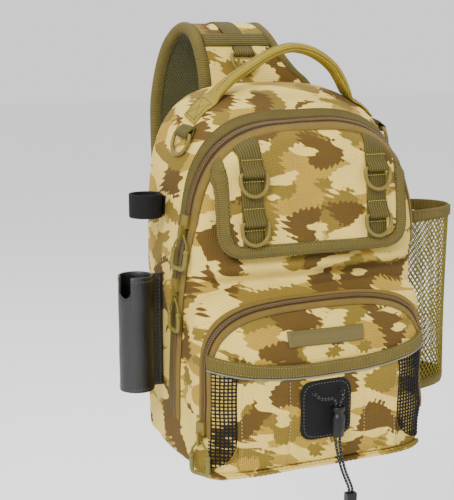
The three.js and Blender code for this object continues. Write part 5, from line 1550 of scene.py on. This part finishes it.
def make_bottle_pocket():
    """Diamond net with an elastic rim and a cloth floor."""
    outline = bottle_outline()
    run = np.concatenate([[0], np.cumsum(np.linalg.norm(np.diff(outline, axis=0), axis=1))])
    total = run[-1]
    height = BOTTLE_BAND - BOTTLE_NET

    def on_net(s, z, lift=0.0):
        x = np.interp(s, run, outline[:, 0])
        y = np.interp(s, run, outline[:, 1])
        sag = 1 - 0.018 * np.sin(math.pi * (z - BOTTLE_NET) / height)
        middle = np.array((HALF, BOTTLE_Y))
        x = middle[0] + (x - middle[0]) * sag
        away = unit(np.stack([x - middle[0] + 12, y - middle[1]], -1))
        return xyz(x - away[..., 0] * (0.8 - lift), y - away[..., 1] * (0.8 - lift), z)

    lines = []
    for direction, lift in ((1, 0.28), (-1, -0.28)):
        for start in np.arange(-height * NET_SLOPE, total + height * NET_SLOPE, NET_PITCH):
            z = np.linspace(BOTTLE_NET - 1, BOTTLE_BAND + 1, 68)
            s = start + direction * (z - BOTTLE_NET) * NET_SLOPE
            keep = (s > 0) & (s < total)
            if keep.sum() > 2:
                lines.append(on_net(s[keep], z[keep], lift))
    piece("diamond_net", grid_strands(lines, 0.75, 4), NET_CORD, ["bottle_net"])

    outline = bottle_outline(0.6, 260)
    gathers = 0.55 * np.sin(np.arange(260) * 0.9) + 0.3 * np.sin(np.arange(260) * 0.37)
    z = np.linspace(BOTTLE_BAND, BOTTLE_TOP, 8)
    grid = xyz(outline[:, :1], outline[:, 1:], z)
    inside = (HALF, BOTTLE_Y, 260)
    body = 0.7 * np.sin(np.linspace(0, math.pi, 8))
    solid = layer(grid, -2.2, 0.6 + body[None, :] + gathers[:, None] * 0.8, inside)
    piece("elastic_rim", loops(solid, width=14), BINDING_TAPE, ["bottle_rim"])
    runs = [row_on(grid, column, 1.6, inside, 4) for column in (1, 6)]
    stitches("elastic_rim_stitches", runs, DARK_THREAD, 2.2, 1.4, 0.36)

    outline = bottle_outline(0.3, 90)
    middle = np.array((HALF + GAP, BOTTLE_Y))
    closed = np.concatenate([outline, np.linspace(outline[-1], outline[0], 26)[1:-1]])
    profile = np.array([(0.02, 45.4), (0.5, 44.6), (0.93, 44), (0.985, 45.5), (1, 49), (1.0, 57.2),
                        (0.975, 57.4), (0.965, 48), (0.5, 46.6), (0.02, 46.6)])
    rows = []
    for scale, z in profile:
        ring = middle + (closed - middle) * scale
        rows.append(xyz(ring[:, 0], ring[:, 1], z))
    piece("bottle_base", loops(np.array(rows), "face"), BINDING_TAPE, ["bottle_floor"])


def make_rod_sleeve():
    """Black coated sleeve with a notch for a reel's foot, sewn to the side by a flange."""
    notch = math.radians(210)
    half_notch = math.asin(NOTCH_HALF / (SLEEVE_RADIUS - 1.2))
    inside_notch = np.linspace(-0.999, 0.999, 15) * half_notch
    beyond = np.linspace(half_notch * 1.001, 2 * math.pi - half_notch * 1.001, 90)
    angle = np.concatenate([inside_notch, beyond]) + notch
    chord = (SLEEVE_RADIUS - 1.2) * np.sin(angle - notch)
    in_notch = np.arange(len(angle)) < 15
    top = np.where(in_notch, SLEEVE_TOP - 16 - np.sqrt(np.maximum(NOTCH_HALF ** 2 - chord ** 2, 0)),
                   SLEEVE_TOP)
    outer, inner = SLEEVE_RADIUS, SLEEVE_RADIUS - SLEEVE_WALL
    rise = np.linspace(0, 1, 30)
    rows = []
    for a, t in zip(angle, top):
        z_run = SLEEVE_LOW + (t - SLEEVE_LOW) * rise
        wrinkle = 0.35 * np.sin(z_run / 9 + 3 * math.sin(a)) * math.sin(2 * a + 1)
        swell = np.concatenate([outer + wrinkle, [outer - 0.5, inner + 0.5], inner + wrinkle[::-1]])
        z = np.concatenate([z_run, [t + 0.7, t + 0.7], z_run[::-1]])
        rows.append(xyz(SLEEVE_X + swell * math.cos(a), ROD_Y + swell * math.sin(a), z))
    tube_shape = loops(np.array(rows), None, ring=True)
    x = np.linspace(SLEEVE_X + outer - 1.4, -HALF + 0.5, 10)
    z = np.linspace(SLEEVE_LOW, SLEEVE_TOP, 40)[:, None]
    flange = xyz(x, ROD_Y + 1.9, z)
    solid = layer(flange, -1.7, 1.7, normal=(0, -1, 0))
    piece("vinyl_rod_sleeve", join([tube_shape, loops(solid)]), VINYL, ["rod_sleeve"], sharp=60)
    runs = []
    for offset in (3.0, 8.0):
        z = np.linspace(SLEEVE_LOW + 3, SLEEVE_TOP - 3, 60)
        runs.append((xyz(-HALF - 12 + offset, ROD_Y + 0.1, z), (0, -1, 0)))
    angle = np.linspace(notch + half_notch * 1.15, notch + 2 * math.pi - half_notch * 1.15, 120)
    for z in (SLEEVE_LOW + 4, SLEEVE_TOP - 4):
        away = xyz((outer + 0.1) * np.cos(angle), (outer + 0.1) * np.sin(angle), 0)
        runs.append((away + (SLEEVE_X, ROD_Y, z), unit(away)))
    stitches("sleeve_stitches", runs, GREY_THREAD, 2.6, 1.6, 0.36)


def make_rod_strap():
    """Woven hook-and-loop ring higher up the side, with a sewn tab."""
    centre_x = -HALF - ROD_STRAP_RADIUS - GAP
    low_z, high_z = ROD_STRAP_LOW, ROD_STRAP_HIGH
    profile = [(1.0, low_z), (1.01, low_z + 2), (1.01, high_z - 2), (1.0, high_z),
               (0.87, high_z), (0.86, high_z - 2), (0.86, low_z + 2), (0.87, low_z)]
    radius, z = np.array(profile).T
    angle = turn(80)[:, None]
    reach = ROD_STRAP_RADIUS * radius
    ring = xyz(centre_x + reach * np.cos(angle), ROD_Y + reach * np.sin(angle), z)
    ring_shape = loops(ring, None, ring=True)
    y = np.linspace(5.8, 42.8, 14)
    z = np.linspace(low_z + 2.6, high_z - 2.6, 9)
    place = np.array([[BODY.place_at(height, depth, -1) for height in z] for depth in y])
    tab = BODY.at(place, y[:, None] + 0 * place)
    solid = layer(tab, GAP, 1.8, MIDDLE)
    piece("woven_rod_strap", join([ring_shape, loops(solid)]), BLACK_WEAVE, ["rod_strap"])


# Stage
def make_stage():
    """A pale floor well below the bag, and soft studio light."""
    floor_z = float(CAD_BOX[0][2]) - FLOOR_DROP
    mesh = bpy.data.meshes.new("floor")
    corners = [(x * FLOOR_HALF, y * FLOOR_HALF, floor_z) for x, y in ((-1, -1), (1, -1), (1, 1), (-1, 1))]
    mesh.from_pydata(corners, [], [(0, 1, 2, 3)])
    f = Finish("pale_floor")
    patches = f.noise(3, 3)
    f.surface(f.mix(patches, rgb(250, 250, 249), rgb(246, 246, 246)), 0.9)
    mesh.materials.append(f.material)
    floor = linked("floor", mesh)
    world = bpy.data.worlds.new("studio")
    bpy.context.scene.world = world
    world.use_nodes = True
    world.node_tree.nodes["Background"].inputs["Color"].default_value = (1, 1, 1, 1)
    world.node_tree.nodes["Background"].inputs["Strength"].default_value = 1.15
    for name, place, power, size in (
        ("key_light", (-1.7, -1.7, 1.5), 112, 1.1),
        ("fill_light", (1.7, -1.4, 0.6), 22, 1.6),
        ("top_light", (0.2, 0.9, 1.9), 40, 1.2),
    ):
        data = bpy.data.lights.new(name, "AREA")
        data.energy = power
        data.size = size
        light = linked(name, data)
        light.location = place
        aim = Vector(LIGHT_AIM) - Vector(place)
        light.rotation_euler = aim.to_track_quat("-Z", "Y").to_euler()


make_body()
make_main_zip()
make_upper_pocket()
make_rings()
make_side_tabs()
make_front_pocket()
make_tool_pocket()
make_meshes()
make_holder()
make_handle()
make_strap()
make_back_pad()
make_bottle_pocket()
make_rod_sleeve()
make_rod_strap()
make_stage()
